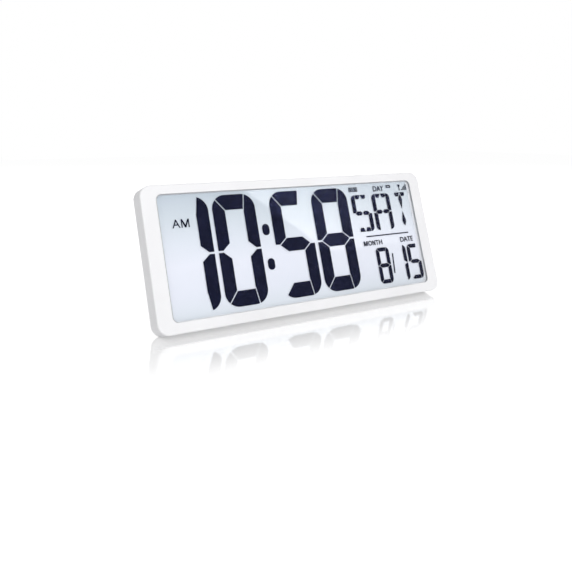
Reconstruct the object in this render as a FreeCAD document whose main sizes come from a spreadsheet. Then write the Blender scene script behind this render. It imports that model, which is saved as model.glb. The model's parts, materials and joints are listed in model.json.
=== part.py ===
import FreeCAD, Part
import math
import os
import re
import Sketcher

# Large-display calendar clock: a white frame around a glass liquid-crystal cell, leaning back on a
# fold-out stand. Each piece is drawn in the clock's own upright frame (x to the right, y from the
# front face towards the back, z up from the lower edge) and is then leaned back as one.

V = FreeCAD.Vector
Constraint = Sketcher.Constraint

doc = FreeCAD.newDocument("DayClock")
sheet = doc.addObject("Spreadsheet::Sheet", "Sizes")

# Driving sizes in millimetres and degrees.
sizes = {
    # outer case
    "case_width": 365,
    "case_height": 148,
    "frame_depth": 19,
    "clock_depth": 27,
    "corner_radius": 12,
    "front_rounding": 1.8,
    "rear_rounding": 0.8,
    "cover_rounding": 3,
    "wall": 2.4,
    "front_wall": 2.4,
    "cover_wall": 2.2,
    "fit_gap": 0.25,
    "small_corner": 1,
    "round_share": 0.96,
    "merge_depth": 0.1,
    "lean_angle": 17.4,
    # window
    "side_bezel": 15.7,
    "top_bezel": 9.8,
    "bottom_bezel": 11,
    "window_radius": 6,
    "window_lip": 1,
    # display stack
    "lens_overlap": 1.9,
    "lens_thickness": 1,
    "film_thickness": 0.2,
    "glass_thickness": 0.7,
    "cell_gap": 0.15,
    "seal_width": 0.8,
    "contact_ledge": 4,
    "reflector_thickness": 0.3,
    "strip_thickness": 2.2,
    "strip_inset": 4,
    "strip_split": 4,
    # holder behind the display
    "holder_thickness": 1.5,
    "holder_rim": 1.2,
    "post_radius": 3.6,
    "post_side": 48,
    "post_low": 66,
    "post_high_drop": 22,
    "cover_joint_depth": 17,
    # screws
    "case_screw_radius": 1.3,
    "case_head_radius": 2.6,
    "case_head_height": 1.9,
    "case_screw_length": 9,
    "small_screw_radius": 0.9,
    "small_head_radius": 2,
    "small_head_height": 1.4,
    "small_screw_length": 4,
    "screw_gap": 0.05,
    "slot_width": 0.6,
    "slot_depth": 0.8,
    "slot_reach": 0.6,
    "tip_gap": 0.4,
    "well_radius": 3.2,
    "well_wall": 1.3,
    "well_floor": 2,
    "boss_side_inset": 7.6,
    "boss_end_inset": 14,
    "holder_boss_inset": 38,
    # circuit board
    "board_left": -100,
    "board_key_margin": 11,
    "board_bottom": 5,
    "board_top": 48,
    "board_depth": 10,
    "board_thickness": 1.6,
    "board_post_radius": 2.5,
    "board_post_inset": 5,
    "chip_size": 14,
    "chip_height": 2,
    "chip_place": -62,
    "crystal_length": 11,
    "crystal_width": 4.6,
    "crystal_height": 3.6,
    "capacitor_radius": 2.5,
    "capacitor_height": 6,
    # buttons
    "key_first": 62,
    "key_pitch": 14,
    "key_height": 30,
    "key_width": 9,
    "key_tall": 6,
    "key_radius": 2.4,
    "key_gap": 0.2,
    "key_proud": 0.8,
    "key_edge": 0.5,
    "key_flange": 0.8,
    "key_flange_thickness": 1.4,
    "key_stem_radius": 1.7,
    "key_travel": 0.5,
    "switch_size": 6,
    "switch_height": 3.5,
    "switch_floor": 1,
    "switch_plunger_radius": 1.5,
    "switch_plunger_height": 1,
    # battery bay
    "cell_radius": 7.1,
    "cell_length": 49.3,
    "nub_radius": 2.7,
    "nub_length": 1.2,
    "cell_pitch": 14.6,
    "bay_drop": 35,
    "bay_wall": 1.6,
    "bay_end_gap": 0.3,
    "contact_thickness": 0.5,
    "contact_width": 11.6,
    "spring_length": 4.5,
    "spring_width": 6,
    "spring_thickness": 0.4,
    "spring_foot": 5,
    "spring_crown": 1.5,
    "door_thickness": 1.8,
    "door_ledge": 4,
    "door_gap": 0.15,
    "door_corner": 1.5,
    "door_pin_radius": 0.8,
    "door_pin_length": 1.4,
    "grip_width": 18,
    "grip_height": 1.1,
    "grip_depth": 0.6,
    "grip_pitch": 2.4,
    "grip_drop": 5,
    "grip_count": 3,
    # stand
    "stand_width": 60,
    "stand_thickness": 5,
    "stand_angle": 32,
    "stand_clearance": 11.3,
    "stand_skin": 1.8,
    "stand_corner": 8,
    "rib_side": 9,
    "recess_gap": 0.3,
    "recess_floor": 2,
    "pin_radius": 1.2,
    "pin_gap": 0.05,
    "pin_seat": 3,
    # hanging holes and sound slots
    "hang_side": 110,
    "hang_drop": 32,
    "hang_radius": 4.25,
    "hang_slot_radius": 2.1,
    "hang_slot_length": 8,
    "sound_side": 34,
    "sound_height": 78,
    "sound_slot_length": 14,
    "sound_slot_width": 1.4,
    "sound_slot_pitch": 3.2,
    "sound_slot_count": 5,
    "buzzer_radius": 10,
    "buzzer_height": 5,
    "buzzer_ring": 1.2,
    # receiver antenna
    "rod_side": 32,
    "rod_low": 50,
    "rod_length": 60,
    "rod_radius": 4,
    "rod_depth": 13,
    "saddle_width": 12,
    "saddle_length": 4,
    "saddle_inset": 4,
    "coil_length": 18,
    "coil_thickness": 1.4,
    # time digits
    "time_inset": 60.9,
    "time_low_margin": 6,
    "time_high_margin": 4.1,
    "digit_gap": 4.75,
    "colon_gap": 18.4,
    "digit_stroke": 14.1,
    "digit_bar": 16.1,
    "digit_middle": 14.6,
    "digit_sag": 0.6,
    "digit_corner": 15.5,
    "digit_cut": 1.25,
    "digit_split": 2.2,
    "digit_tip": 5.3,
    "digit_cut_lean": 2.6,
    "colon_width": 8.6,
    "colon_height": 12.2,
    "colon_corner": 4.1,
    "colon_spacing": 37.3,
    # day letters
    "day_inset": 3.2,
    "day_gap": 6.05,
    "letter_width": 27.4,
    "letter_gap": 3.45,
    "letter_stroke": 5.4,
    "letter_bar": 4.8,
    "letter_corner": 5.2,
    "letter_cut": 0.7,
    "letter_tip": 2.8,
    "letter_flare": 2.5,
    "letter_bevel": 2.2,
    "leaf_reach": 4,
    "leaf_shoulder": 1.6,
    "leaf_half_width": 2.8,
    "day_drop": 14,
    "divider_height": 74.1,
    "divider_thickness": 1.3,
    "divider_left_inset": 12.8,
    "divider_right_inset": 12.2,
    "day_above_divider": 6.2,
    # date digits
    "date_below_divider": 14.6,
    "date_inset": 2.3,
    "date_month_inset": 22.3,
    "date_width": 19.4,
    "date_stroke": 4.9,
    "date_bar": 4.6,
    "date_corner": 5.4,
    "date_cut": 0.65,
    "date_split": 0.9,
    "date_tip": 1.6,
    "date_cut_lean": 0.6,
    "date_gap": 2.3,
    "slash_gap": 3.4,
    "slash_width": 1.6,
    "slash_lean": 1.9,
    "slash_low": 0.25,
    "slash_high": 0.8,
}
for row, (name, value) in enumerate(sizes.items(), start=1):
    sheet.set(f"A{row}", str(value))
    sheet.setAlias(f"A{row}", name)
doc.recompute()

# Places worked out from the driving sizes, as expressions.
half_width = "(case_width / 2)"
window_side = "(case_width / 2 - side_bezel)"
window_top = "(case_height - top_bezel)"
lens_front = "window_lip"
film_front = f"({lens_front} + lens_thickness)"
glass_front = f"({film_front} + film_thickness)"
crystal_front = f"({glass_front} + glass_thickness)"
rear_glass_front = f"({crystal_front} + cell_gap)"
reflector_front = f"({rear_glass_front} + glass_thickness)"
holder_front = f"({reflector_front} + reflector_thickness)"
holder_back = f"({holder_front} + holder_thickness)"
display_side = f"({window_side} + lens_overlap)"
display_top = f"({window_top} + lens_overlap)"
display_low = "(bottom_bezel - lens_overlap)"
ledge_low = f"({display_low} - contact_ledge)"
rim_side = f"({display_side} + fit_gap + holder_rim)"
rim_low = f"({ledge_low} - fit_gap - holder_rim)"
rim_top = f"({display_top} + fit_gap + holder_rim)"
board_back = "(board_depth + board_thickness)"
cover_side = "(case_width / 2 - wall - fit_gap)"
cover_low = "(wall + fit_gap)"
cover_top = "(case_height - wall - fit_gap)"
cover_corner = "(corner_radius - wall - fit_gap)"
cover_inside = "(clock_depth - cover_wall)"
boss_x = "(case_width / 2 - boss_side_inset)"
key_names = ["mode", "alarm", "up", "down", "light"]
key_places = [f"(key_first + {place} * key_pitch)" for place in range(len(key_names))]
board_right = f"({key_places[-1]} + board_key_margin)"
switch_back = f"({board_back} + switch_height)"
plunger_back = f"({switch_back} + switch_plunger_height)"

# battery bay
bay_middle = "(case_height - bay_drop)"
bay_half_length = "((cell_length + nub_length + spring_length) / 2 + contact_thickness)"
bay_half_height = "(1.5 * cell_pitch + bay_end_gap)"
door_front = "(clock_depth - door_thickness)"
door_floor = f"({door_front} - door_gap)"
door_low = f"({bay_middle} - {bay_half_height} - door_ledge)"
door_top = f"({bay_middle} + {bay_half_height} + door_ledge)"
door_side = f"({bay_half_length} + door_ledge)"
door_axis_depth = "(clock_depth - door_thickness / 2)"
door_axis_height = f"({door_low} + door_gap + door_thickness / 2)"
cell_axis = f"({door_front} - door_gap - cell_radius)"
bay_floor = f"({cell_axis} - cell_radius - door_gap)"

# stand
stand_front = "(clock_depth - stand_thickness)"
pivot_depth = "(clock_depth - stand_thickness / 2)"
recess_depth = f"({stand_front} - recess_gap)"
recess_side = "(stand_width / 2 + recess_gap)"
stop_reach = "(stand_thickness / 2 * (cos(stand_angle) + sin(stand_angle)))"
recess_top = f"({door_low} - stand_clearance)"
pivot_height = f"({recess_top} - {stop_reach} - pin_gap)"
ground_drop = ("((frame_depth - rear_rounding) * sin(lean_angle)"
               " - rear_rounding * cos(lean_angle) + rear_rounding)")
tip_angle = "(stand_angle - lean_angle)"
stand_length = (f"(({pivot_height} * cos(lean_angle) - {pivot_depth} * sin(lean_angle)"
                f" - stand_thickness / 2 * sin({tip_angle}) + {ground_drop}) / cos({tip_angle}))")
tip_front = f"({pivot_height} - {stand_length})"
tip_back = f"({tip_front} - stand_thickness * tan({tip_angle}))"

# the leaning placement: the lowest edge meets the ground and the whole is centred front to back
rear_reach = (f"((clock_depth - cover_rounding) * cos(lean_angle)"
              f" + ({cover_top} - cover_rounding) * sin(lean_angle) + cover_rounding)")
front_reach = "(front_rounding * cos(lean_angle) + front_rounding * sin(lean_angle) - front_rounding)"


def bound(text):
    """Point every size named in an expression at its cell."""
    return re.sub(r"[a-z_]+", lambda word: ("Sizes." if word.group() in sizes else "") + word.group(), text)


def number(text):
    return float(sheet.evalExpression(bound(text)))


lean = bound(f"placement(vector(0; -({rear_reach} + {front_reach}) / 2; {ground_drop});"
             " rotation(vector(1; 0; 0); -lean_angle))")
open_stand = bound("placement(vector(0; 0; 0); rotation(vector(1; 0; 0); stand_angle);"
                   f" vector(0; {pivot_depth}; {pivot_height}))")


# Drawing helpers.
def new_body(name):
    body = doc.addObject("PartDesign::Body", name)
    body.Label = name
    body.setExpression("Placement", lean)
    return body


planes = {"front": "XZ_Plane", "ground": "XY_Plane", "side": "YZ_Plane"}


def draw(body, plane, level):
    """A sketch on a plane of the body: front at depth y, ground at height z, side at x."""
    sketch = body.newObject("Sketcher::SketchObject", f"{body.Name}_sketch")
    origin_plane = [item for item in body.Origin.OriginFeatures if item.Role == planes[plane]][0]
    sketch.AttachmentSupport = [(origin_plane, "")]
    sketch.MapMode = "FlatFace"
    sign = "-" if plane == "front" else ""
    sketch.setExpression("AttachmentOffset.Base.z", bound(f"{sign}({level})"))
    return sketch


def dimension(sketch, kind, places, expression):
    index = sketch.addConstraint(Constraint(kind, *places, number(expression)))
    sketch.setExpression(f"Constraints[{index}]", bound(expression))


def circle(sketch, across, up, radius):
    centre = V(number(across), number(up), 0)
    index = sketch.addGeometry(Part.Circle(centre, V(0, 0, 1), number(radius)))
    dimension(sketch, "Radius", (index,), radius)
    dimension(sketch, "DistanceX", (-1, 1, index, 3), across)
    dimension(sketch, "DistanceY", (-1, 1, index, 3), up)


def outline(sketch, corners):
    """A closed outline of straight sides through corners given as pairs of expressions."""
    points = [V(number(across), number(up), 0) for across, up in corners]
    lines = [sketch.addGeometry(Part.LineSegment(points[i], points[(i + 1) % len(points)]))
             for i in range(len(points))]
    for place, line in enumerate(lines):
        following = lines[(place + 1) % len(lines)]
        sketch.addConstraint(Constraint("Coincident", line, 2, following, 1))
        dimension(sketch, "DistanceX", (-1, 1, line, 1), corners[place][0])
        dimension(sketch, "DistanceY", (-1, 1, line, 1), corners[place][1])


def rectangle(sketch, left, right, low, high, radius=None):
    if radius is None:
        outline(sketch, [(left, low), (right, low), (right, high), (left, high)])
        return
    x1, x2, z1, z2, r = (number(item) for item in (left, right, low, high, radius))
    sides = [((x1 + r, z1), (x2 - r, z1)), ((x2, z1 + r), (x2, z2 - r)),
             ((x2 - r, z2), (x1 + r, z2)), ((x1, z2 - r), (x1, z1 + r))]
    centres = [(x2 - r, z1 + r), (x2 - r, z2 - r), (x1 + r, z2 - r), (x1 + r, z1 + r)]
    lines = [sketch.addGeometry(Part.LineSegment(V(*start, 0), V(*end, 0))) for start, end in sides]
    arcs = []
    for quarter, centre in enumerate(centres):
        start = (quarter - 1) * math.pi / 2
        ring = Part.Circle(V(*centre, 0), V(0, 0, 1), r)
        arcs.append(sketch.addGeometry(Part.ArcOfCircle(ring, start, start + math.pi / 2)))
    for place in range(4):
        sketch.addConstraint(Constraint("Tangent", lines[place], 2, arcs[place], 1))
        sketch.addConstraint(Constraint("Tangent", arcs[place], 2, lines[(place + 1) % 4], 1))
    for flat, upright in ((0, 1), (2, 3)):
        sketch.addConstraint(Constraint("Horizontal", lines[flat]))
        sketch.addConstraint(Constraint("Vertical", lines[upright]))
    for place in range(3):
        sketch.addConstraint(Constraint("Equal", arcs[place], arcs[place + 1]))
    dimension(sketch, "Radius", (arcs[0],), radius)
    dimension(sketch, "DistanceX", (-1, 1, lines[3], 1), left)
    dimension(sketch, "DistanceX", (-1, 1, lines[1], 1), right)
    dimension(sketch, "DistanceY", (-1, 1, lines[0], 1), low)
    dimension(sketch, "DistanceY", (-1, 1, lines[2], 1), high)


def pad(body, plane, level, length, shapes):
    """Add material from a sketch, always towards the growing axis of its plane."""
    sketch = draw(body, plane, level)
    for shape, *places in shapes:
        shape(sketch, *places)
    feature = body.newObject("PartDesign::Pad", f"{body.Name}_pad")
    feature.Profile = sketch
    feature.Reversed = plane == "front"
    feature.setExpression("Length", bound(length))
    body.Tip = feature
    return feature


def pocket(body, plane, level, length, shapes):
    """Take material away from a sketch, always towards the growing axis of its plane."""
    sketch = draw(body, plane, level)
    for shape, *places in shapes:
        shape(sketch, *places)
    feature = body.newObject("PartDesign::Pocket", f"{body.Name}_pocket")
    feature.Profile = sketch
    feature.Reversed = plane != "front"
    feature.setExpression("Length", bound(length))
    body.Tip = feature
    return feature


def fillet(body, base, radius, wanted):
    """Round the edges of a feature whose middle point the test accepts."""
    doc.recompute()
    edges = []
    for place, edge in enumerate(base.Shape.Edges, start=1):
        middle = edge.valueAt((edge.FirstParameter + edge.LastParameter) / 2)
        if wanted(middle, edge):
            edges.append(f"Edge{place}")
    feature = body.newObject("PartDesign::Fillet", f"{body.Name}_fillet")
    feature.Base = (base, edges)
    feature.Radius = number(radius)
    feature.setExpression("Radius", bound(radius))
    body.Tip = feature
    return feature


def near(one, other):
    return abs(one - other) < 0.01


def round_end(width):
    """The largest radius that a bar of this width takes at its ends."""
    return f"({width} / 2 * round_share)"


# Places of bosses and screws.
sides = ("-", "")
case_boss_places = [(f"{sign}{boss_x}", height) for sign in sides
                    for height in ("boss_end_inset", "(case_height / 2)", "(case_height - boss_end_inset)")]
holder_boss_places = [(f"{sign}{boss_x}", height) for sign in sides
                      for height in ("holder_boss_inset", "(case_height - holder_boss_inset)")]
post_places = [(f"{sign}post_side", height) for sign in sides
               for height in ("post_low", "(case_height - post_high_drop)")]
board_post_places = [(across, up)
                     for across in ("(board_left + board_post_inset)", f"({board_right} - board_post_inset)")
                     for up in ("(board_bottom + 2 * board_post_inset)", "(board_top - board_post_inset)")]
cell_heights = [f"({bay_middle} - cell_pitch)", bay_middle, f"({bay_middle} + cell_pitch)"]


def circles(places, radius):
    return [(circle, across, up, radius) for across, up in places]


# Case and display.
def make_front_frame():
    body = new_body("front_frame")
    block = pad(body, "front", "0", "frame_depth",
                [(rectangle, f"-{half_width}", half_width, "0", "case_height", "corner_radius")])
    rounded = fillet(body, block, "front_rounding", lambda p, edge: near(p.y, 0))
    fillet(body, rounded, "rear_rounding", lambda p, edge: near(p.y, number("frame_depth")))
    pocket(body, "front", "front_wall", "frame_depth",
           [(rectangle, f"-({half_width} - wall)", f"({half_width} - wall)", "wall", "(case_height - wall)",
             "(corner_radius - wall)")])
    pocket(body, "front", "window_lip", "front_wall",
           [(rectangle, f"-({rim_side} + fit_gap)", f"({rim_side} + fit_gap)", f"({rim_low} - fit_gap)",
             f"({rim_top} + fit_gap)", "(2 * holder_rim + fit_gap)")])
    pocket(body, "front", "0", "window_lip",
           [(rectangle, f"-{window_side}", window_side, "bottom_bezel", window_top, "window_radius")])
    pad(body, "front", "front_wall", "cover_joint_depth - front_wall",
        circles(case_boss_places, "post_radius"))
    pad(body, "front", "front_wall", f"{holder_front} - front_wall",
        circles(holder_boss_places, "post_radius"))
    pocket(body, "front", "cover_joint_depth - case_screw_length", "case_screw_length",
           circles(case_boss_places, "(case_screw_radius + screw_gap)"))
    pocket(body, "front", f"{holder_back} - small_screw_length", "small_screw_length",
           circles(holder_boss_places, "(small_screw_radius + screw_gap)"))


def plate(name, front, thickness, side, low, top, radius="window_radius"):
    """One flat rectangular layer of the display."""
    body = new_body(name)
    pad(body, "front", front, thickness, [(rectangle, f"-{side}", side, low, top, radius)])
    return body


def make_display_layers():
    plate("window_lens", lens_front, "lens_thickness", display_side, display_low, display_top)
    plate("front_polariser", film_front, "film_thickness", display_side, display_low, display_top)
    plate("lcd_front_glass", glass_front, "glass_thickness", display_side, ledge_low, display_top,
          "seal_width")
    plate("lcd_rear_glass", rear_glass_front, "glass_thickness", display_side, display_low, display_top,
          "seal_width")
    plate("lcd_reflector", reflector_front, "reflector_thickness", display_side, display_low, display_top,
          "seal_width")
    seal = new_body("lcd_edge_seal")
    inner = [f"-({display_side} - seal_width)", f"({display_side} - seal_width)",
             f"({display_low} + seal_width)", f"({display_top} - seal_width)", "seal_width"]
    pad(seal, "front", crystal_front, "cell_gap",
        [(rectangle, f"-{display_side}", display_side, display_low, display_top, "(2 * seal_width)"),
         (rectangle, *inner)])


strip_middle = f"(({ledge_low} + {display_low}) / 2)"
strip_spans = [("(board_left + strip_inset)", "(-strip_split / 2)"),
               ("(strip_split / 2)", f"({board_right} - strip_inset)")]


def make_lcd_holder():
    body = new_body("lcd_holder")
    pad(body, "front", holder_front, "holder_thickness",
        [(rectangle, f"-{rim_side}", rim_side, rim_low, rim_top, "(2 * holder_rim)")])
    pad(body, "front", glass_front, f"{holder_front} - {glass_front}",
        [(rectangle, f"-{rim_side}", rim_side, rim_low, rim_top, "(2 * holder_rim)"),
         (rectangle, f"-({display_side} + fit_gap)", f"({display_side} + fit_gap)",
          f"({ledge_low} - fit_gap)", f"({display_top} + fit_gap)", "holder_rim")])
    for across, up in holder_boss_places:
        inner, outer = f"{rim_side} - holder_rim", f"{boss_x} + post_radius - fit_gap"
        if across.startswith("-"):
            inner, outer = f"-({outer})", f"-({inner})"
        pad(body, "front", holder_front, "holder_thickness",
            [(rectangle, inner, outer, f"({up} - post_radius)", f"({up} + post_radius)", "small_corner")])
    pad(body, "front", holder_back, f"cover_joint_depth - {holder_back}", circles(post_places, "post_radius"))
    pad(body, "front", holder_back, f"board_depth - {holder_back}",
        circles(board_post_places, "board_post_radius"))
    for up in ("(rod_low + saddle_inset)", "(rod_low + rod_length - saddle_inset - saddle_length)"):
        middle = f"-({half_width} - rod_side)"
        pad(body, "front", holder_back, f"rod_depth - {holder_back}",
            [(rectangle, f"({middle} - saddle_width / 2)", f"({middle} + saddle_width / 2)", up,
              f"({up} + saddle_length)")])
    pocket(body, "ground", "rod_low", "rod_length",
           [(circle, f"-({half_width} - rod_side)", "rod_depth", "(rod_radius + screw_gap)")])
    pocket(body, "front", holder_front, "holder_thickness",
           circles(holder_boss_places, "(small_screw_radius + 2 * screw_gap)"))
    pocket(body, "front", "cover_joint_depth - case_screw_length", "case_screw_length",
           circles(post_places, "(case_screw_radius + screw_gap)"))
    pocket(body, "front", f"{board_back} - small_screw_length", "small_screw_length",
           circles(board_post_places, "(small_screw_radius + screw_gap)"))
    for left, right in strip_spans:
        pocket(body, "front", glass_front, f"{holder_back} - {glass_front}",
               [(rectangle, f"({left} - fit_gap)", f"({right} + fit_gap)",
                 f"({strip_middle} - strip_thickness / 2 - fit_gap)",
                 f"({strip_middle} + strip_thickness / 2 + fit_gap)")])


# Liquid crystal segments.
def flat_face(points):
    """A flat face in the clock's front plane through (x, z) points."""
    corners = [V(x, 0, z) for x, z in points]
    return Part.Face(Part.makePolygon(corners + corners[:1]))


def bar_face(start, end, width):
    """A thin straight bar of the given width, used to cut one segment from the next."""
    along = V(end[0] - start[0], 0, end[1] - start[1])
    along.normalize()
    across = V(-along.z, 0, along.x) * (width / 2)
    ends = [V(start[0], 0, start[1]), V(end[0], 0, end[1])]
    corners = [ends[0] - across, ends[1] - across, ends[1] + across, ends[0] + across]
    return Part.Face(Part.makePolygon(corners + corners[:1]))


def rounded_face(width, height, radius):
    """A rectangle with round corners and its lower left corner at the origin."""
    block = Part.makeBox(width, 1, height)
    upright = [edge for edge in block.Edges if near(edge.Vertexes[0].Y, 0) != near(edge.Vertexes[-1].Y, 0)]
    rounded = block.makeFillet(radius, upright)
    return [face for face in rounded.Faces if near(face.CenterOfMass.y, 0) and face.Area > radius * radius][0]


def pick_segments(faces, places, wanted):
    """Keep the faces that lie nearest to the middles of the wanted segments."""
    kept = []
    for name in wanted:
        middle = V(places[name][0], 0, places[name][1])
        kept.append(min(faces, key=lambda face: face.CenterOfMass.distanceToPoint(middle)))
    return kept


def mirrored_up(points, height):
    return [(x, height - z) for x, z in reversed(points)]


def digit_faces(wanted, width, height, kind, sag=0):
    """The lit segments of a seven-segment digit, lettered a to g clockwise from the top."""
    stroke, bar, corner, cut, split, tip, cut_lean = (
        number(f"{kind}_{part}") for part in ("stroke", "bar", "corner", "cut", "split", "tip", "cut_lean"))
    middle = number(f"{kind}_middle") if kind == "digit" else bar
    half = height / 2 - sag
    inner_low, inner_high = bar, height - bar
    windows = [flat_face([(stroke, half + middle / 2), (width - stroke, half + middle / 2),
                          (width - stroke, inner_high), (stroke, inner_high)]),
               flat_face([(stroke, inner_low), (width - stroke, inner_low),
                          (width - stroke, half - middle / 2), (stroke, half - middle / 2)])]
    bend = corner * (1 - math.sqrt(0.5))
    overrun = 0.1
    cuts = []
    for level, side, arm in ((inner_high, height, 1), (inner_low, 0, -1)):
        run = (bend - stroke, side - arm * bend - level)
        cuts.append(bar_face((stroke - run[0] * overrun, level - run[1] * overrun),
                             (stroke + run[0] * 2, level + run[1] * 2), cut))
        shoulder, rise = width - stroke, side - level
        cuts.append(bar_face((shoulder - cut_lean * overrun, level - rise * overrun),
                             (shoulder + cut_lean * (1 + overrun), side + rise * overrun), cut))
        wing = half + arm * middle / 2
        for shoulder, point, edge in ((stroke, tip, -1), (width - stroke, width - tip, width + 1)):
            run = (shoulder - point, wing - half)
            cuts.append(bar_face((point, half), (shoulder + run[0] * overrun, wing + run[1] * overrun), cut))
            cuts.append(bar_face((edge, half), (point, half), split))
    face = rounded_face(width, height, corner).cut(windows + cuts)
    places = {"a": (width / 2, height - bar / 2), "d": (width / 2, bar / 2), "g": (width / 2, half),
              "b": (width - stroke / 2, half * 1.5), "c": (width - stroke / 2, half * 0.5),
              "f": (stroke / 2, half * 1.5), "e": (stroke / 2, half * 0.5)}
    return pick_segments(face.Faces, places, wanted)


def leaf_face(centre, tip, shoulder, widest, point):
    """A centre stroke: a short tip between the split bars, widest below them, then a long taper."""
    narrow, wide = number("leaf_shoulder"), number("leaf_half_width")
    return flat_face([(centre, tip), (centre + narrow, shoulder), (centre + wide, widest), (centre, point),
                      (centre - wide, widest), (centre - narrow, shoulder)])


def letter_faces(wanted, width, height):
    """The lit segments of a letter with split bars and two centre strokes."""
    stroke, bar, corner, cut, tip, flare, bevel = (
        number(f"letter_{part}") for part in ("stroke", "bar", "corner", "cut", "tip", "flare", "bevel"))
    half, centre = height / 2, width / 2
    window = [(stroke, half + bar / 2), (width - stroke, half + bar / 2),
              (width - stroke, height - bar / 2), (width - stroke - bevel, height - bar),
              (stroke + bevel, height - bar), (stroke, height - bar / 2)]
    windows = [flat_face(window), flat_face(mirrored_up(window, height))]
    cuts = [bar_face((-1, half), (tip, half), 2 * cut),
            bar_face((width - tip, half), (width + 1, half), 2 * cut),
            bar_face((centre, half - bar), (centre, half + bar), cut)]
    for across in (stroke + cut / 2, width - stroke - cut / 2):
        cuts.append(bar_face((across, height - bar - 1), (across, height + 1), cut))
        cuts.append(bar_face((across, bar + 1), (across, -1), cut))
    notch = [(centre - cut / 2, height + 0.1), (centre - flare, height - bar), (centre + flare, height - bar),
             (centre + cut / 2, height + 0.1)]
    wedge = [(centre - cut / 2, half), (centre + cut / 2, half), (centre + flare, half + bar / 2 + 0.01),
             (centre - flare, half + bar / 2 + 0.01)]
    for points in (notch, wedge):
        cuts += [flat_face(points), flat_face(mirrored_up(points, height))]
    for shoulder, point in ((stroke, tip), (width - stroke, width - tip)):
        for level in (half + bar / 2, half - bar / 2):
            run = (shoulder - point, level - half)
            cuts.append(bar_face((point, half), (shoulder + run[0] * 0.6, level + run[1] * 0.6), cut))
    face = rounded_face(width, height, corner).cut(windows + cuts)
    quarter = (width + stroke) / 4
    places = {"a": (quarter, height - bar / 2), "A": (width - quarter, height - bar / 2),
              "d": (quarter, bar / 2), "D": (width - quarter, bar / 2),
              "g": (quarter, half), "G": (width - quarter, half),
              "b": (width - stroke / 2, half * 1.5), "c": (width - stroke / 2, half * 0.5),
              "f": (stroke / 2, half * 1.5), "e": (stroke / 2, half * 0.5)}
    reach = number("leaf_reach")
    stems = {"i": leaf_face(centre, height - bar / 2, height - bar, height - bar - reach, half + 2 * cut),
             "l": leaf_face(centre, bar / 2, bar, bar + reach, half - 2 * cut)}
    ring = [name for name in wanted if name not in stems]
    return pick_segments(face.Faces, places, ring) + [stems[name] for name in wanted if name in stems]


def add_segments(name, groups):
    """Thin solids of liquid crystal from groups of faces, each placed at its lower left corner."""
    solids = []
    for faces, left, low in groups:
        for face in faces:
            moved = face.copy()
            moved.translate(V(left, number(crystal_front), low))
            solids.append(moved.extrude(V(0, number("cell_gap"), 0)))
    piece = doc.addObject("Part::Feature", name)
    piece.Label = name
    piece.Shape = Part.makeCompound(solids)
    piece.setExpression("Placement", lean)


def make_segments():
    side = number(window_side)
    letter, gap = number("letter_width"), number("letter_gap")
    day_left = side - number("day_inset") - 3 * letter - 2 * gap
    time_left = number("time_inset") - side
    digit_gap, colon_gap = number("digit_gap"), number("colon_gap")
    width = (day_left - number("day_gap") - time_left - colon_gap - digit_gap) / 3
    low = number("bottom_bezel + time_low_margin")
    height = number(f"{window_top} - time_high_margin") - low
    five_left = time_left + width + colon_gap
    one_left = time_left - digit_gap - width
    digits = [("bc", one_left), ("abcdef", time_left), ("acdfg", five_left),
              ("abcdefg", five_left + width + digit_gap)]
    sag = number("digit_sag")
    groups = [(digit_faces(lit, width, height, "digit", sag), left, low) for lit, left in digits]
    dot_width, dot_height = number("colon_width"), number("colon_height")
    dot = rounded_face(dot_width, dot_height, number("colon_corner"))
    dot_left = time_left + width + (colon_gap - dot_width) / 2
    for step in (-0.5, 0.5):
        dot_low = low + height / 2 - sag + step * number("colon_spacing") - dot_height / 2
        groups.append(([dot], dot_left, dot_low))
    add_segments("time_digits", groups)

    divider = number("divider_height")
    day_low = divider + number("day_above_divider")
    day_height = number(f"{window_top} - day_drop") - day_low
    letters = ["aAfgGcdD", "aAbfgGec", "aAil"]
    add_segments("day_letters",
                 [(letter_faces(lit, letter, day_height), day_left + place * (letter + gap), day_low)
                  for place, lit in enumerate(letters)])

    date_height = divider - number("date_below_divider") - low
    date_width, date_stroke = number("date_width"), number("date_stroke")
    five = side - number("date_inset") - date_width
    one = five - number("date_gap") - date_width
    eight = day_left + number("date_month_inset")
    groups = [(digit_faces("abcdefg", date_width, date_height, "date"), eight, low),
              (digit_faces("bc", date_width, date_height, "date"), one, low),
              (digit_faces("acdfg", date_width, date_height, "date"), five, low)]
    slash_left = eight + date_width + number("slash_gap")
    slash = bar_face((0, date_height * number("slash_low")),
                     (number("slash_lean"), date_height * number("slash_high")), number("slash_width"))
    groups.append(([slash], slash_left, low))
    add_segments("date_digits", groups)

    line_left = day_left + number("divider_left_inset")
    line_right = side - number("date_inset") - number("divider_right_inset")
    line = bar_face((line_left, 0), (line_right, 0), number("divider_thickness"))
    add_segments("divider_line", [([line], 0, divider)])


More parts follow.
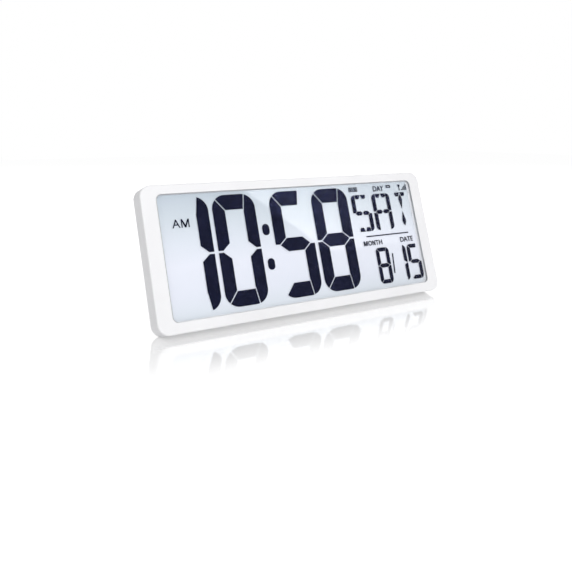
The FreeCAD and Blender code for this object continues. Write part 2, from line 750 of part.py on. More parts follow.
# Electronics.
def make_electronics():
    board = new_body("main_board")
    pad(board, "front", "board_depth", "board_thickness",
        [(rectangle, "board_left", board_right, "board_bottom", "board_top", "small_corner")])
    pocket(board, "front", "board_depth", "board_thickness",
           circles(board_post_places, "(small_screw_radius + 2 * screw_gap)"))

    strips = new_body("elastomer_strips")
    pad(strips, "front", crystal_front, f"board_depth - {crystal_front}",
        [(rectangle, left, right, f"({strip_middle} - strip_thickness / 2)",
          f"({strip_middle} + strip_thickness / 2)") for left, right in strip_spans])

    chip = new_body("controller_chip")
    half = "chip_size / 2"
    pad(chip, "front", board_back, "chip_height",
        [(rectangle, f"(chip_place - {half})", f"(chip_place + {half})", f"(key_height - {half})",
          f"(key_height + {half})", "small_corner")])

    crystal_left = "(chip_place + chip_size)"
    crystal = new_body("quartz_crystal")
    pad(crystal, "front", board_back, "crystal_height",
        [(rectangle, crystal_left, f"({crystal_left} + crystal_length)", "(key_height - crystal_width / 2)",
          "(key_height + crystal_width / 2)", round_end("crystal_width"))])

    capacitors = new_body("capacitors")
    pad(capacitors, "front", board_back, "capacitor_height",
        circles([("(chip_place - chip_size)", "(key_height + 2 * capacitor_radius)"),
                 ("(chip_place - chip_size)", "(key_height - 2 * capacitor_radius)")], "capacitor_radius"))

    switches = new_body("key_switches")
    half = "switch_size / 2"
    pad(switches, "front", board_back, "switch_height",
        [(rectangle, f"({place} - {half})", f"({place} + {half})", f"(key_height - {half})",
          f"(key_height + {half})", "(small_corner / 2)") for place in key_places])
    pocket(switches, "front", f"{board_back} + switch_floor", "switch_height",
           circles([(place, "key_height") for place in key_places], "(switch_plunger_radius + screw_gap)"))

    rod_x = f"-({half_width} - rod_side)"
    rod = new_body("ferrite_rod")
    pad(rod, "ground", "rod_low", "rod_length", [(circle, rod_x, "rod_depth", "rod_radius")])
    coil = new_body("antenna_coil")
    pad(coil, "ground", "rod_low + rod_length / 2 - coil_length / 2", "coil_length",
        [(circle, rod_x, "rod_depth", "(rod_radius + coil_thickness)"),
         (circle, rod_x, "rod_depth", "rod_radius")])

    buzzer = new_body("buzzer")
    pad(buzzer, "front", f"{cover_inside} - buzzer_height", "buzzer_height",
        [(circle, f"({half_width} - sound_side)", "sound_height", "buzzer_radius")])


# Rear cover.
def make_rear_cover():
    body = new_body("rear_cover")
    shell = pad(body, "front", "cover_joint_depth", "clock_depth - cover_joint_depth",
                [(rectangle, f"-{cover_side}", cover_side, cover_low, cover_top, cover_corner)])
    fillet(body, shell, "cover_rounding", lambda p, edge: near(p.y, number("clock_depth")))
    pocket(body, "front", "cover_joint_depth", f"{cover_inside} - cover_joint_depth",
           [(rectangle, f"-({cover_side} - cover_wall)", f"({cover_side} - cover_wall)",
             f"({cover_low} + cover_wall)", f"({cover_top} - cover_wall)", f"({cover_corner} - cover_wall)")])
    pad(body, "front", "cover_joint_depth", f"{cover_inside} - cover_joint_depth + merge_depth",
        circles(case_boss_places + post_places, "(well_radius + well_wall)"))

    outer_length, outer_height = f"({bay_half_length} + bay_wall)", f"({bay_half_height} + bay_wall)"
    pad(body, "front", f"{bay_floor} - bay_wall", f"{cover_inside} - {bay_floor} + bay_wall + merge_depth",
        [(rectangle, f"-{outer_length}", outer_length, f"({bay_middle} - {outer_height})",
          f"({bay_middle} + {outer_height})", "bay_wall")])
    pad(body, "front", f"{cover_inside} - cover_wall", "cover_wall + merge_depth",
        [(rectangle, f"-({door_side} + bay_wall)", f"({door_side} + bay_wall)", f"({door_low} - bay_wall)",
          f"({door_top} + bay_wall)", "(door_corner + bay_wall)")])
    box_side = f"({recess_side} + pin_seat)"
    pad(body, "front", f"{recess_depth} - recess_floor",
        f"{cover_inside} - {recess_depth} + recess_floor + merge_depth",
        [(rectangle, f"-{box_side}", box_side, f"({cover_low} + cover_wall / 2)",
          f"({recess_top} + recess_floor)", "(small_corner / 2)")])
    ring_inner = "(buzzer_radius + fit_gap)"
    pad(body, "front", f"{cover_inside} - buzzer_height / 2", "buzzer_height / 2 + merge_depth",
        [(circle, f"({half_width} - sound_side)", "sound_height", f"({ring_inner} + buzzer_ring)"),
         (circle, f"({half_width} - sound_side)", "sound_height", ring_inner)])

    pocket(body, "front", bay_floor, f"clock_depth - {bay_floor}",
           [(rectangle, f"-{bay_half_length}", bay_half_length, f"({bay_middle} - {bay_half_height})",
             f"({bay_middle} + {bay_half_height})")])
    pocket(body, "front", door_floor, "clock_depth",
           [(rectangle, f"-{door_side}", door_side, door_low, door_top, "(door_corner + door_gap)")])
    lug_reach = f"({door_side} + door_pin_length + door_gap)"
    pocket(body, "front", f"{door_axis_depth} - door_pin_radius - pin_gap", "clock_depth",
           [(rectangle, f"-{lug_reach}", lug_reach, door_low,
             f"({door_axis_height} + door_pin_radius + pin_gap)")])
    pocket(body, "front", recess_depth, "clock_depth",
           [(rectangle, f"-{recess_side}", recess_side, "0", recess_top)])
    pocket(body, "side", f"-({recess_side} + pin_seat)", f"2 * ({recess_side} + pin_seat)",
           [(circle, pivot_depth, pivot_height, "(pin_radius + screw_gap / 2)")])
    pocket(body, "front", "cover_joint_depth + well_floor", "clock_depth",
           circles(case_boss_places + post_places, "well_radius"))
    pocket(body, "front", "cover_joint_depth", "well_floor",
           circles(case_boss_places + post_places, "(case_screw_radius + 3 * screw_gap)"))

    for sign in sides:
        centre = (f"{sign}hang_side", "(case_height - hang_drop)")
        pocket(body, "front", cover_inside, "clock_depth", circles([centre], "hang_radius"))
        pocket(body, "front", cover_inside, "clock_depth",
               [(rectangle, f"({centre[0]} - hang_slot_radius)", f"({centre[0]} + hang_slot_radius)",
                 centre[1], f"({centre[1]} + hang_slot_length)", round_end("2 * hang_slot_radius"))])
    sound_x = f"({half_width} - sound_side)"
    for step in range(sizes["sound_slot_count"]):
        middle = f"(sound_height + ({step} - (sound_slot_count - 1) / 2) * sound_slot_pitch)"
        pocket(body, "front", cover_inside, "clock_depth",
               [(rectangle, f"({sound_x} - sound_slot_length / 2)", f"({sound_x} + sound_slot_length / 2)",
                 f"({middle} - sound_slot_width / 2)", f"({middle} + sound_slot_width / 2)",
                 round_end("sound_slot_width"))])
    for place in key_places:
        pocket(body, "front", cover_inside, "clock_depth",
               [(rectangle, f"({place} - key_width / 2 - key_gap)", f"({place} + key_width / 2 + key_gap)",
                 "(key_height - key_tall / 2 - key_gap)", "(key_height + key_tall / 2 + key_gap)",
                 "(key_radius + key_gap)")])


# Buttons.
def make_buttons():
    flange_back = f"({cover_inside} - fit_gap)"
    flange_front = f"({flange_back} - key_flange_thickness)"
    for name, place in zip(key_names, key_places):
        button = new_body(f"{name}_button")
        cap = pad(button, "front", flange_back, f"clock_depth + key_proud - {flange_back}",
                  [(rectangle, f"({place} - key_width / 2)", f"({place} + key_width / 2)",
                    "(key_height - key_tall / 2)", "(key_height + key_tall / 2)", "key_radius")])
        fillet(button, cap, "key_edge", lambda p, edge: near(p.y, number("clock_depth + key_proud")))
        pad(button, "front", flange_front, "key_flange_thickness",
            [(rectangle, f"({place} - key_width / 2 - key_flange)", f"({place} + key_width / 2 + key_flange)",
              "(key_height - key_tall / 2 - key_flange)", "(key_height + key_tall / 2 + key_flange)",
              "(key_radius + key_flange)")])
        pad(button, "front", plunger_back, f"{flange_front} - {plunger_back}",
            [(circle, place, "key_height", "key_stem_radius")])

        plunger = new_body(f"{name}_plunger")
        floor = f"({board_back} + switch_floor + key_travel + screw_gap)"
        pad(plunger, "front", floor, f"{plunger_back} - {floor}",
            [(circle, place, "key_height", "switch_plunger_radius")])


# Battery bay.
def make_battery_parts():
    contact = "contact_thickness"
    cells = new_body("battery_cells")
    contacts = new_body("battery_contacts")
    end = f"({bay_half_length} - {contact})"
    for place, up in enumerate(cell_heights):
        flipped = place == 1
        can_start = f"(-{end} + nub_length)" if flipped else f"(-{end} + spring_length)"
        nub_start = f"(-{end})" if flipped else f"({end} - nub_length)"
        pad(cells, "side", can_start, "cell_length", [(circle, cell_axis, up, "cell_radius")])
        pad(cells, "side", nub_start, "nub_length", [(circle, cell_axis, up, "nub_radius")])
    low, middle, high = cell_heights
    half = "contact_width / 2"
    left_plates = [(low, low), (middle, high)]
    right_plates = [(low, middle), (high, high)]
    for start, plates in ((f"-{bay_half_length}", left_plates), (end, right_plates)):
        pad(contacts, "side", start, contact,
            [(rectangle, f"({cell_axis} - {half})", f"({cell_axis} + {half})", f"({first} - {half})",
              f"({last} + {half})", "small_corner") for first, last in plates])

    springs = new_body("battery_springs")
    slope = "((spring_foot - spring_crown) / spring_length)"
    foot_width = f"(spring_thickness / cos(atan({slope})))"
    crown_reach = "(spring_length - spring_thickness)"
    inner_crown = f"(spring_foot - {foot_width} - {crown_reach} * {slope})"
    profile = [("0", "spring_foot"), ("spring_length", "spring_crown"), ("spring_length", "-spring_crown"),
               ("0", "-spring_foot"), ("0", f"{foot_width} - spring_foot"), (crown_reach, f"-{inner_crown}"),
               (crown_reach, inner_crown), ("0", f"spring_foot - {foot_width}")]
    leaves = []
    for place, up in enumerate(cell_heights):
        base, sign = (end, "-") if place == 1 else (f"-{end}", "+")
        leaves.append((outline, [(f"({base} {sign} {reach})", f"({up} + ({rise}))")
                                 for reach, rise in profile]))
    pad(springs, "front", f"{cell_axis} - spring_width / 2", "spring_width", leaves)

    door = new_body("battery_door")
    side = f"({door_side} - door_gap)"
    panel = pad(door, "front", door_front, "door_thickness",
                [(rectangle, f"-{side}", side, f"({door_low} + door_gap)", f"({door_top} - door_gap)")])
    lower, upper = number(f"{door_low} + door_gap"), number(f"{door_top} - door_gap")
    softened = fillet(door, panel, round_end("door_thickness"),
                      lambda p, edge: near(p.z, lower) and edge.Length > number(door_side))
    fillet(door, softened, "door_corner",
           lambda p, edge: near(p.z, upper) and near(abs(p.x), number(side)))
    lug_reach = f"({door_side} + door_pin_length)"
    pad(door, "side", f"-{lug_reach}", f"2 * {lug_reach}",
        [(circle, door_axis_depth, door_axis_height, "door_pin_radius")])
    for step in range(sizes["grip_count"]):
        grip = f"({door_top} - door_gap - grip_drop - {step} * grip_pitch)"
        pocket(door, "front", "clock_depth - grip_depth", "grip_depth",
               [(rectangle, "(-grip_width / 2)", "(grip_width / 2)", grip, f"({grip} + grip_height)",
                 round_end("grip_height"))])


# Stand.
def make_stand():
    leg = new_body("stand_leg")
    half = "(stand_width / 2)"
    high = f"({pivot_height} + stand_thickness / 2)"
    block = pad(leg, "side", f"-{half}", "stand_width",
                [(outline, [(stand_front, tip_front), ("clock_depth", tip_back), ("clock_depth", high),
                            (stand_front, high)])])
    top = number(high)
    front = number(stand_front)
    rounded = fillet(leg, block, round_end("stand_thickness"),
                     lambda p, edge: near(p.z, top) and near(p.y, front))
    side = number(half)
    fillet(leg, rounded, "stand_corner",
           lambda p, edge: near(abs(p.x), side) and p.z < number(tip_front)
           and edge.Length < 2 * number("stand_thickness"))
    spans = [(f"(-{half} + stand_skin)", "(-rib_side - stand_skin)"), ("(-rib_side)", "rib_side"),
             ("(rib_side + stand_skin)", f"({half} - stand_skin)")]
    pocket(leg, "front", stand_front, "stand_thickness - stand_skin",
           [(rectangle, left, right, f"({tip_front} + stand_corner)",
             f"({pivot_height} - stand_thickness)", "small_corner") for left, right in spans])
    pocket(leg, "side", f"-{half}", "stand_width",
           [(circle, pivot_depth, pivot_height, "(pin_radius + pin_gap)")])
    leg.setExpression("Placement", f"{lean} * {open_stand}")

    pin = new_body("stand_pin")
    reach = f"({recess_side} + pin_seat - fit_gap)"
    pad(pin, "side", f"-{reach}", f"2 * {reach}", [(circle, pivot_depth, pivot_height, "pin_radius")])


# Screws.
def screw_set(name, groups, head_radius, head_height, shank_radius, length):
    """Pan-head screws with a cross recess; each group gives the seat depth and the places."""
    body = new_body(name)
    for seat, places in groups:
        pad(body, "front", seat, head_height, circles(places, head_radius))
        pad(body, "front", f"{seat} - {length}", length, circles(places, shank_radius))
        arm, half = f"{head_radius} * slot_reach", "slot_width / 2"
        for wide, tall in ((arm, half), (half, arm)):
            pocket(body, "front", f"{seat} + {head_height} - slot_depth", "slot_depth",
                   [(rectangle, f"({across} - {wide})", f"({across} + {wide})", f"({up} - {tall})",
                     f"({up} + {tall})") for across, up in places])


def make_screws():
    seat = "(cover_joint_depth + well_floor)"
    screw_set("case_screws", [(seat, case_boss_places + post_places)], "case_head_radius", "case_head_height",
              "case_screw_radius", "(case_screw_length + well_floor - tip_gap)")
    small = ("small_head_radius", "small_head_height", "small_screw_radius", "(small_screw_length - tip_gap)")
    screw_set("holder_screws", [(holder_back, holder_boss_places)], *small)
    screw_set("board_screws", [(board_back, board_post_places)], *small)


make_front_frame()
make_display_layers()
make_lcd_holder()
make_segments()
make_electronics()
make_rear_cover()
make_buttons()
make_battery_parts()
make_stand()
make_screws()
doc.recompute()

# Checks and files.
faults = [item.Label for item in doc.Objects if "Invalid" in item.State or "Error" in item.State]
for item in doc.Objects:
    if item.TypeId in ("PartDesign::Pocket", "PartDesign::Pad") and item.BaseFeature:
        change = item.Shape.Volume - item.BaseFeature.Shape.Volume
        if abs(change) < 1e-6 or (change > 0) == (item.TypeId == "PartDesign::Pocket"):
            faults.append(f"{item.Label} changes nothing")
pieces = [item for item in doc.Objects if item.TypeId in ("PartDesign::Body", "Part::Feature")]
for piece in pieces:
    if piece.Shape.isNull() or not piece.Shape.isValid():
        faults.append(f"{piece.Label} has no valid shape")
if faults:
    raise RuntimeError("; ".join(faults))

os.makedirs("parts", exist_ok=True)
for piece in pieces:
    piece.Shape.exportStep(f"parts/{piece.Label}.step")
    box = piece.Shape.BoundBox
    print(f"{piece.Label:18s} solids {len(piece.Shape.Solids):3d} volume {piece.Shape.Volume:10.1f}"
          f"  y {box.YMin:7.2f} {box.YMax:7.2f}  z {box.ZMin:7.2f} {box.ZMax:7.2f}")
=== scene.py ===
import json
import math

import bmesh
import bpy
from mathutils import Matrix, Vector


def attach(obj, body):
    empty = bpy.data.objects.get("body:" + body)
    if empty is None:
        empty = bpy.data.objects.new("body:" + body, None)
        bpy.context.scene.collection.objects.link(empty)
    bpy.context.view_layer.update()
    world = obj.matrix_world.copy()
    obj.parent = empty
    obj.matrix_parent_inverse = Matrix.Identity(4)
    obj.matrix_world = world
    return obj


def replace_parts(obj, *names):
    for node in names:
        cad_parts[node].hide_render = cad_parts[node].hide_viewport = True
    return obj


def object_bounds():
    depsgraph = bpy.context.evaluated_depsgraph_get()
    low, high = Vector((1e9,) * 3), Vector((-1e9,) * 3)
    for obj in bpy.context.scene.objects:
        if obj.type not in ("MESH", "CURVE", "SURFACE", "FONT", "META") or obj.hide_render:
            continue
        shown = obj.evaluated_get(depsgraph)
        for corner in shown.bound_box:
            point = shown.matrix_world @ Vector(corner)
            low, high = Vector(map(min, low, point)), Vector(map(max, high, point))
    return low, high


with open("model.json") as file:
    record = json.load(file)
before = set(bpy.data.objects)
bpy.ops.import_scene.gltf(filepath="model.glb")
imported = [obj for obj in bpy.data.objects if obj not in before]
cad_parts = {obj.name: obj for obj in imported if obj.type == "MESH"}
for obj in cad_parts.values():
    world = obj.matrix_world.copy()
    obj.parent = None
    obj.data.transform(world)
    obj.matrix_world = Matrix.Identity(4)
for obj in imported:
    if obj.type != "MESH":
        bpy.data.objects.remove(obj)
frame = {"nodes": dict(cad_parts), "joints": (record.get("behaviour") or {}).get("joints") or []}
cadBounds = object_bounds()
nodes = frame["nodes"]
joints = {joint["name"]: joint for joint in frame["joints"]}
scene = bpy.context.scene
mm = 0.001

# The clock leans back on its stand. Its own upright frame has x to the right of the display, y from the
# front face towards the back and z up from the lower front edge.
clock = {
    "lean": math.radians(17.4),
    "pivotDepth": 24.5 * mm,      # the stand's pin, which the joint gives in the scene's frame
    "pivotHeight": 72.005 * mm,
    "windowSide": 166.8 * mm,
    "windowLow": 11 * mm,
    "windowTop": 138.2 * mm,
    "windowRadius": 6 * mm,
    "crystalFace": 2.9 * mm,
    "crystalDepth": 0.15 * mm,
    "coverFace": 27 * mm,
}
hinge = Vector(joints["stand_hinge"]["pos_m"])
pinPlace = Vector((0, clock["pivotDepth"], clock["pivotHeight"]))
leanTurn = Matrix.Rotation(-clock["lean"], 4, "X")
toScene = Matrix.Translation(hinge) @ leanTurn @ Matrix.Translation(-pinPlace)
fromScene = toScene.inverted()


def linear(hexCode):
    channels = [int(hexCode[place:place + 2], 16) / 255 for place in (1, 3, 5)]
    return tuple(c / 12.92 if c <= 0.04045 else ((c + 0.055) / 1.055) ** 2.4 for c in channels) + (1,)


def addNode(tree, kind, settings=None, inputs=None, stops=()):
    # inputs go by name or number and take a value or a link; stops are a ramp's (place, colour) pairs
    node = tree.nodes.new(kind)
    for name, value in (settings or {}).items():
        setattr(node, name, value)
    for name, value in (inputs or {}).items():
        if isinstance(value, bpy.types.NodeSocket):
            tree.links.new(value, node.inputs[name])
        else:
            node.inputs[name].default_value = value
    if stops:
        elements = node.color_ramp.elements
        while len(elements) < len(stops):
            elements.new(0.5)
        for element, (place, hexCode) in zip(elements, stops):
            element.position = place
            element.color = linear(hexCode)
    return node


def newMaterial(name):
    material = bpy.data.materials.new(name)
    material.use_nodes = True
    material.node_tree.nodes.clear()
    return material, material.node_tree


def perMetre(sizeInMm):
    return 1000 / sizeInMm


def clockPlace(tree):
    # Object coordinates turned into the clock's own upright frame, in metres
    shift = fromScene.to_translation()
    place = addNode(tree, "ShaderNodeTexCoord").outputs["Object"]
    return addNode(tree, "ShaderNodeMapping", inputs={
        "Vector": place, "Location": shift, "Rotation": (clock["lean"], 0, 0)}).outputs["Vector"]


# Plain finishes. tones are the darkest and palest patches, patch is how wide they are in millimetres,
# grain is the width of the surface's texture and relief its depth, both in millimetres.
finishes = {
    # injection-moulded ABS from a satin tool: even, bright, with a soft broad highlight
    "satinAbs": {"tones": ("#F2F2F4", "#F6F6F8"), "patch": 60, "grain": 0.7, "relief": 0.006,
                 "surface": {"Roughness": 0.42, "IOR": 1.53, "Specular IOR Level": 0.4}},
    # the same resin from a spark-eroded tool: a fine dry pebble, drawn at 1.1 mm so that it shows
    "sparkAbs": {"tones": ("#EEEEF0", "#F1F1F2"), "patch": 40, "grain": 1.1, "relief": 0.05,
                 "surface": {"Roughness": 0.6, "IOR": 1.53, "Specular IOR Level": 0.35}},
    # cool grey moulded keys, polished a little by use
    "keyAbs": {"tones": ("#D3D5D9", "#DADCE0"), "patch": 6, "grain": 0.6, "relief": 0.01,
               "surface": {"Roughness": 0.38, "IOR": 1.53, "Specular IOR Level": 0.45}},
    # natural ABS straight from the tool, never seen from outside
    "plainAbs": {"tones": ("#DEDFDC", "#E6E7E4"), "patch": 40, "grain": 2, "relief": 0.02,
                 "surface": {"Roughness": 0.5, "IOR": 1.53}},
    # pad-printed ink: thin, matt, slightly patchy grey
    "padInk": {"tones": ("#6A6C72", "#74767C"), "patch": 1.5, "grain": 0.5, "relief": 0.004,
               "surface": {"Roughness": 0.7}},
    # white printing on a cell's sleeve
    "paleInk": {"tones": ("#DADBDC", "#E6E7E8"), "patch": 1.5, "grain": 0.5, "relief": 0.003,
                "surface": {"Roughness": 0.5}},
    # white ink round the edge of the reflector, pale as painted light that lifts the shade under the window
    # lip
    "borderInkPaintedLight": {"tones": ("#F4F8FB", "#F8FAFC"), "patch": 8, "grain": 0.6, "relief": 0.002,
                  "surface": {"Roughness": 0.5}},
    # grey bead in the corner of the window: its grey is painted shade for the shaded gap line between lip and
    # window
    "beadPaintedShade": {"tones": ("#C9CBCD", "#CFD1D3"), "patch": 8, "grain": 0.6, "relief": 0.002,
                    "surface": {"Roughness": 0.6}},
    # cured edge epoxy round the glass cell
    "edgeEpoxy": {"tones": ("#DCE1E3", "#E8ECEE"), "patch": 4, "grain": 1.5, "relief": 0.01,
                  "surface": {"Roughness": 0.45}},
    # black transfer-moulded resin of chips, switches and the buzzer
    "blackResin": {"tones": ("#202124", "#292A2E"), "patch": 3, "grain": 0.4, "relief": 0.01,
                   "surface": {"Roughness": 0.55}},
    # drawn nickel-silver can: bright, slightly scuffed
    "drawnCan": {"tones": ("#B9BBBF", "#CFD0D3"), "patch": 3, "grain": 0.5, "relief": 0.004,
                 "surface": {"Roughness": 0.28, "Metallic": 1}},
    # sintered ferrite: dull charcoal with pressed grain
    "sinteredFerrite": {"tones": ("#2B2A2B", "#3A3938"), "patch": 2, "grain": 0.5, "relief": 0.03,
                        "surface": {"Roughness": 0.75}},
    # nickel-plated spring steel strip
    "nickelStrip": {"tones": ("#C4C3BE", "#D8D7D3"), "patch": 5, "grain": 0.4, "relief": 0.003,
                    "surface": {"Roughness": 0.22, "Metallic": 1}},
    # zinc-plated and clear-passivated screws: bluish, a little cloudy
    "zincPlate": {"tones": ("#A8ADB4", "#C3C7CC"), "patch": 2, "grain": 0.4, "relief": 0.004,
                  "surface": {"Roughness": 0.34, "Metallic": 1}},
    # enamelled copper wire: orange-brown under clear lacquer
    "enamelledCopper": {"tones": ("#A85A2C", "#C8743C"), "patch": 2, "grain": 0.4, "relief": 0.002,
                        "surface": {"Roughness": 0.3, "Metallic": 0.8, "Coat Weight": 0.6}},
}


# how the tones and the grain of every plain finish are spread
texture = {"patchDetail": 2, "grainDetail": 3, "dark": 0.35, "pale": 0.65}


def makeFinish(name):
    finish = finishes[name]
    dark, pale = finish["tones"]
    material, tree = newMaterial(name)
    place = addNode(tree, "ShaderNodeTexCoord").outputs["Object"]
    patches = addNode(tree, "ShaderNodeTexNoise", inputs={
        "Vector": place, "Scale": perMetre(finish["patch"]), "Detail": texture["patchDetail"]})
    grain = addNode(tree, "ShaderNodeTexNoise", inputs={
        "Vector": place, "Scale": perMetre(finish["grain"]), "Detail": texture["grainDetail"]})
    bump = addNode(tree, "ShaderNodeBump", inputs={
        "Height": grain.outputs["Fac"], "Strength": 1, "Distance": finish["relief"] * mm})
    colour = addNode(tree, "ShaderNodeValToRGB", inputs={"Fac": patches.outputs["Fac"]},
                     stops=[(texture["dark"], dark), (texture["pale"], pale)])
    shader = addNode(tree, "ShaderNodeBsdfPrincipled", inputs={
        "Base Color": colour.outputs["Color"], "Normal": bump.outputs["Normal"], **finish["surface"]})
    addNode(tree, "ShaderNodeOutputMaterial", inputs={"Surface": shader.outputs["BSDF"]})
    return material


# Clear layers. Each passes nearly all light. Only the outer window has air on both sides, and its
# hard coat holds the reflection down, so the layers bonded behind it have next to none.
clearLayers = {
    "hardCoatAcrylic": {"tint": "#FFFFFF", "gloss": 0.012, "ior": 1.49},
    "polariserFilm": {"tint": "#FEFEFF", "gloss": 0.001, "ior": 1.49},
    "floatGlass": {"tint": "#FFFFFF", "gloss": 0.001, "ior": 1.52},
}
clearRoughness = 0.02


def makeClearLayer(name):
    layer = clearLayers[name]
    material, tree = newMaterial(name)
    clear = addNode(tree, "ShaderNodeBsdfTransparent", inputs={"Color": linear(layer["tint"])})
    gloss = addNode(tree, "ShaderNodeBsdfGlossy", inputs={"Roughness": clearRoughness})
    edge = addNode(tree, "ShaderNodeFresnel", inputs={"IOR": layer["ior"]})
    share = addNode(tree, "ShaderNodeMath", {"operation": "MULTIPLY"}, {
        0: edge.outputs["Fac"], 1: layer["gloss"]})
    shader = addNode(tree, "ShaderNodeMixShader", inputs={
        "Fac": share.outputs["Value"], 1: clear.outputs["BSDF"], 2: gloss.outputs["BSDF"]})
    addNode(tree, "ShaderNodeOutputMaterial", inputs={"Surface": shader.outputs["Shader"]})
    return material


# switched liquid crystal between crossed films: blue-black, with a weak blue sheen
crystalInk = {"tones": ("#191B2B", "#1C1E30"), "stops": (0.3, 0.7), "patch": 20, "sheen": "#8A9CFF",
              "surface": {"Roughness": 0.05, "Specular IOR Level": 0.1}}


def makeCrystalInk():
    material, tree = newMaterial("crystalInk")
    place = addNode(tree, "ShaderNodeTexCoord").outputs["Object"]
    patches = addNode(tree, "ShaderNodeTexNoise", inputs={
        "Vector": place, "Scale": perMetre(crystalInk["patch"])})
    colour = addNode(tree, "ShaderNodeValToRGB", inputs={"Fac": patches.outputs["Fac"]},
                     stops=list(zip(crystalInk["stops"], crystalInk["tones"])))
    shader = addNode(tree, "ShaderNodeBsdfPrincipled", inputs={
        "Base Color": colour.outputs["Color"], "Specular Tint": linear(crystalInk["sheen"]),
        **crystalInk["surface"]})
    addNode(tree, "ShaderNodeOutputMaterial", inputs={"Surface": shader.outputs["BSDF"]})
    return material


# reflective rear film: pearly. Its colour carries painted shade, greyer towards its upper edge, a painted
# reflection, paler across the middle, and painted shade at the lower right corner
rearFilm = {
    "heights": [(0, "#E6EEF3"), (0.18, "#EDF2FA"), (0.42, "#F1F5FD"), (0.6, "#E7EEF5"),
                (0.8, "#D8E2E8"), (1, "#C8D4DC")],
    "paintedCornerShade": 0.07,
    "cornerHeight": 45 * mm,
    "surface": {"Roughness": 0.03, "IOR": 1.55},
}


def makeRearFilm():
    material, tree = newMaterial("rearFilm")
    place = addNode(tree, "ShaderNodeSeparateXYZ", inputs={"Vector": clockPlace(tree)})
    height = addNode(tree, "ShaderNodeMapRange", inputs={
        "Value": place.outputs["Z"], "From Min": clock["windowLow"], "From Max": clock["windowTop"]})
    # painted shade and painted reflection: the ramp darkens the film towards its top and brightens its middle
    colour = addNode(tree, "ShaderNodeValToRGB", inputs={"Fac": height.outputs["Result"]},
                     stops=rearFilm["heights"])
    # painted shade: the film is darkened towards its lower right corner
    across = addNode(tree, "ShaderNodeMapRange", inputs={
        "Value": place.outputs["X"], "From Min": 0, "From Max": clock["windowSide"]})
    low = addNode(tree, "ShaderNodeMapRange", inputs={
        "Value": place.outputs["Z"], "From Min": rearFilm["cornerHeight"], "From Max": clock["windowLow"]})
    corner = addNode(tree, "ShaderNodeMath", {"operation": "MULTIPLY"}, {
        0: across.outputs["Result"], 1: low.outputs["Result"]})
    shade = addNode(tree, "ShaderNodeMapRange", inputs={
        "Value": corner.outputs["Value"], "To Min": 1, "To Max": 1 - rearFilm["paintedCornerShade"]})
    shaded = addNode(tree, "ShaderNodeVectorMath", {"operation": "SCALE"}, {
        "Vector": colour.outputs["Color"], "Scale": shade.outputs["Result"]})
    shader = addNode(tree, "ShaderNodeBsdfPrincipled", inputs={
        "Base Color": shaded.outputs["Vector"], **rearFilm["surface"]})
    addNode(tree, "ShaderNodeOutputMaterial", inputs={"Surface": shader.outputs["BSDF"]})
    return material


# glass-epoxy board under green solder mask, which is paler over the copper tracks
solderMask = {
    "mask": "#1F5B36",
    "track": "#2F7A49",
    "pitch": 3.2,
    "layout": {"offset": 0.3, "squash": 0.6, "squash_frequency": 3},
    "shape": {"Mortar Size": 0.12, "Brick Width": 3, "Row Height": 0.5},
    "surface": {"Roughness": 0.35},
}


def makeSolderMask():
    mask, track = linear(solderMask["mask"]), linear(solderMask["track"])
    material, tree = newMaterial("solderMask")
    tracks = addNode(tree, "ShaderNodeTexBrick", solderMask["layout"], {
        "Vector": clockPlace(tree), "Scale": perMetre(solderMask["pitch"]),
        "Color1": mask, "Color2": mask, "Mortar": track, **solderMask["shape"]})
    shader = addNode(tree, "ShaderNodeBsdfPrincipled", inputs={
        "Base Color": tracks.outputs["Color"], **solderMask["surface"]})
    addNode(tree, "ShaderNodeOutputMaterial", inputs={"Surface": shader.outputs["BSDF"]})
    return material


# layered silicone: stripes across the clock, filled with carbon and clear by turns
zebraSilicone = {"tones": ("#3C3D41", "#C9CBD0"), "stops": (0.4, 0.6), "pitch": 0.6,
                 "surface": {"Roughness": 0.6}}


def makeZebraSilicone():
    material, tree = newMaterial("zebraSilicone")
    stripes = addNode(tree, "ShaderNodeTexWave", {"wave_type": "BANDS", "bands_direction": "X"}, {
        "Vector": clockPlace(tree), "Scale": perMetre(zebraSilicone["pitch"]) / math.tau})
    colour = addNode(tree, "ShaderNodeValToRGB", inputs={"Fac": stripes.outputs["Fac"]},
                     stops=list(zip(zebraSilicone["stops"], zebraSilicone["tones"])))
    shader = addNode(tree, "ShaderNodeBsdfPrincipled", inputs={
        "Base Color": colour.outputs["Color"], **zebraSilicone["surface"]})
    addNode(tree, "ShaderNodeOutputMaterial", inputs={"Surface": shader.outputs["BSDF"]})
    return material


# steel cell in a printed sleeve: slate blue with a paler band at each end, and bare metal beyond the sleeve
cellSleeve = {"body": "#4A6378", "band": "#8FA3B0", "metal": "#C9C9C6", "bandStart": 14 * mm,
              "sleeveEnd": 23.2 * mm, "roughness": 0.32}


def makeCellSleeve():
    body, band, metal = (linear(cellSleeve[name]) for name in ("body", "band", "metal"))
    material, tree = newMaterial("cellSleeve")
    place = addNode(tree, "ShaderNodeSeparateXYZ", inputs={"Vector": clockPlace(tree)})
    across = addNode(tree, "ShaderNodeMath", {"operation": "ABSOLUTE"}, {0: place.outputs["X"]})
    inBand, bare = [
        addNode(tree, "ShaderNodeMath", {"operation": "GREATER_THAN"}, {
            0: across.outputs["Value"], 1: cellSleeve[name]}).outputs["Value"]
        for name in ("bandStart", "sleeveEnd")]
    # sockets 6 and 7 and output 2 are the mix node's colours
    sleeve = addNode(tree, "ShaderNodeMix", {"data_type": "RGBA"}, {"Factor": inBand, 6: body, 7: band})
    whole = addNode(tree, "ShaderNodeMix", {"data_type": "RGBA"}, {
        "Factor": bare, 6: sleeve.outputs[2], 7: metal})
    shader = addNode(tree, "ShaderNodeBsdfPrincipled", inputs={
        "Base Color": whole.outputs[2], "Metallic": bare, "Roughness": cellSleeve["roughness"]})
    addNode(tree, "ShaderNodeOutputMaterial", inputs={"Surface": shader.outputs["BSDF"]})
    return material


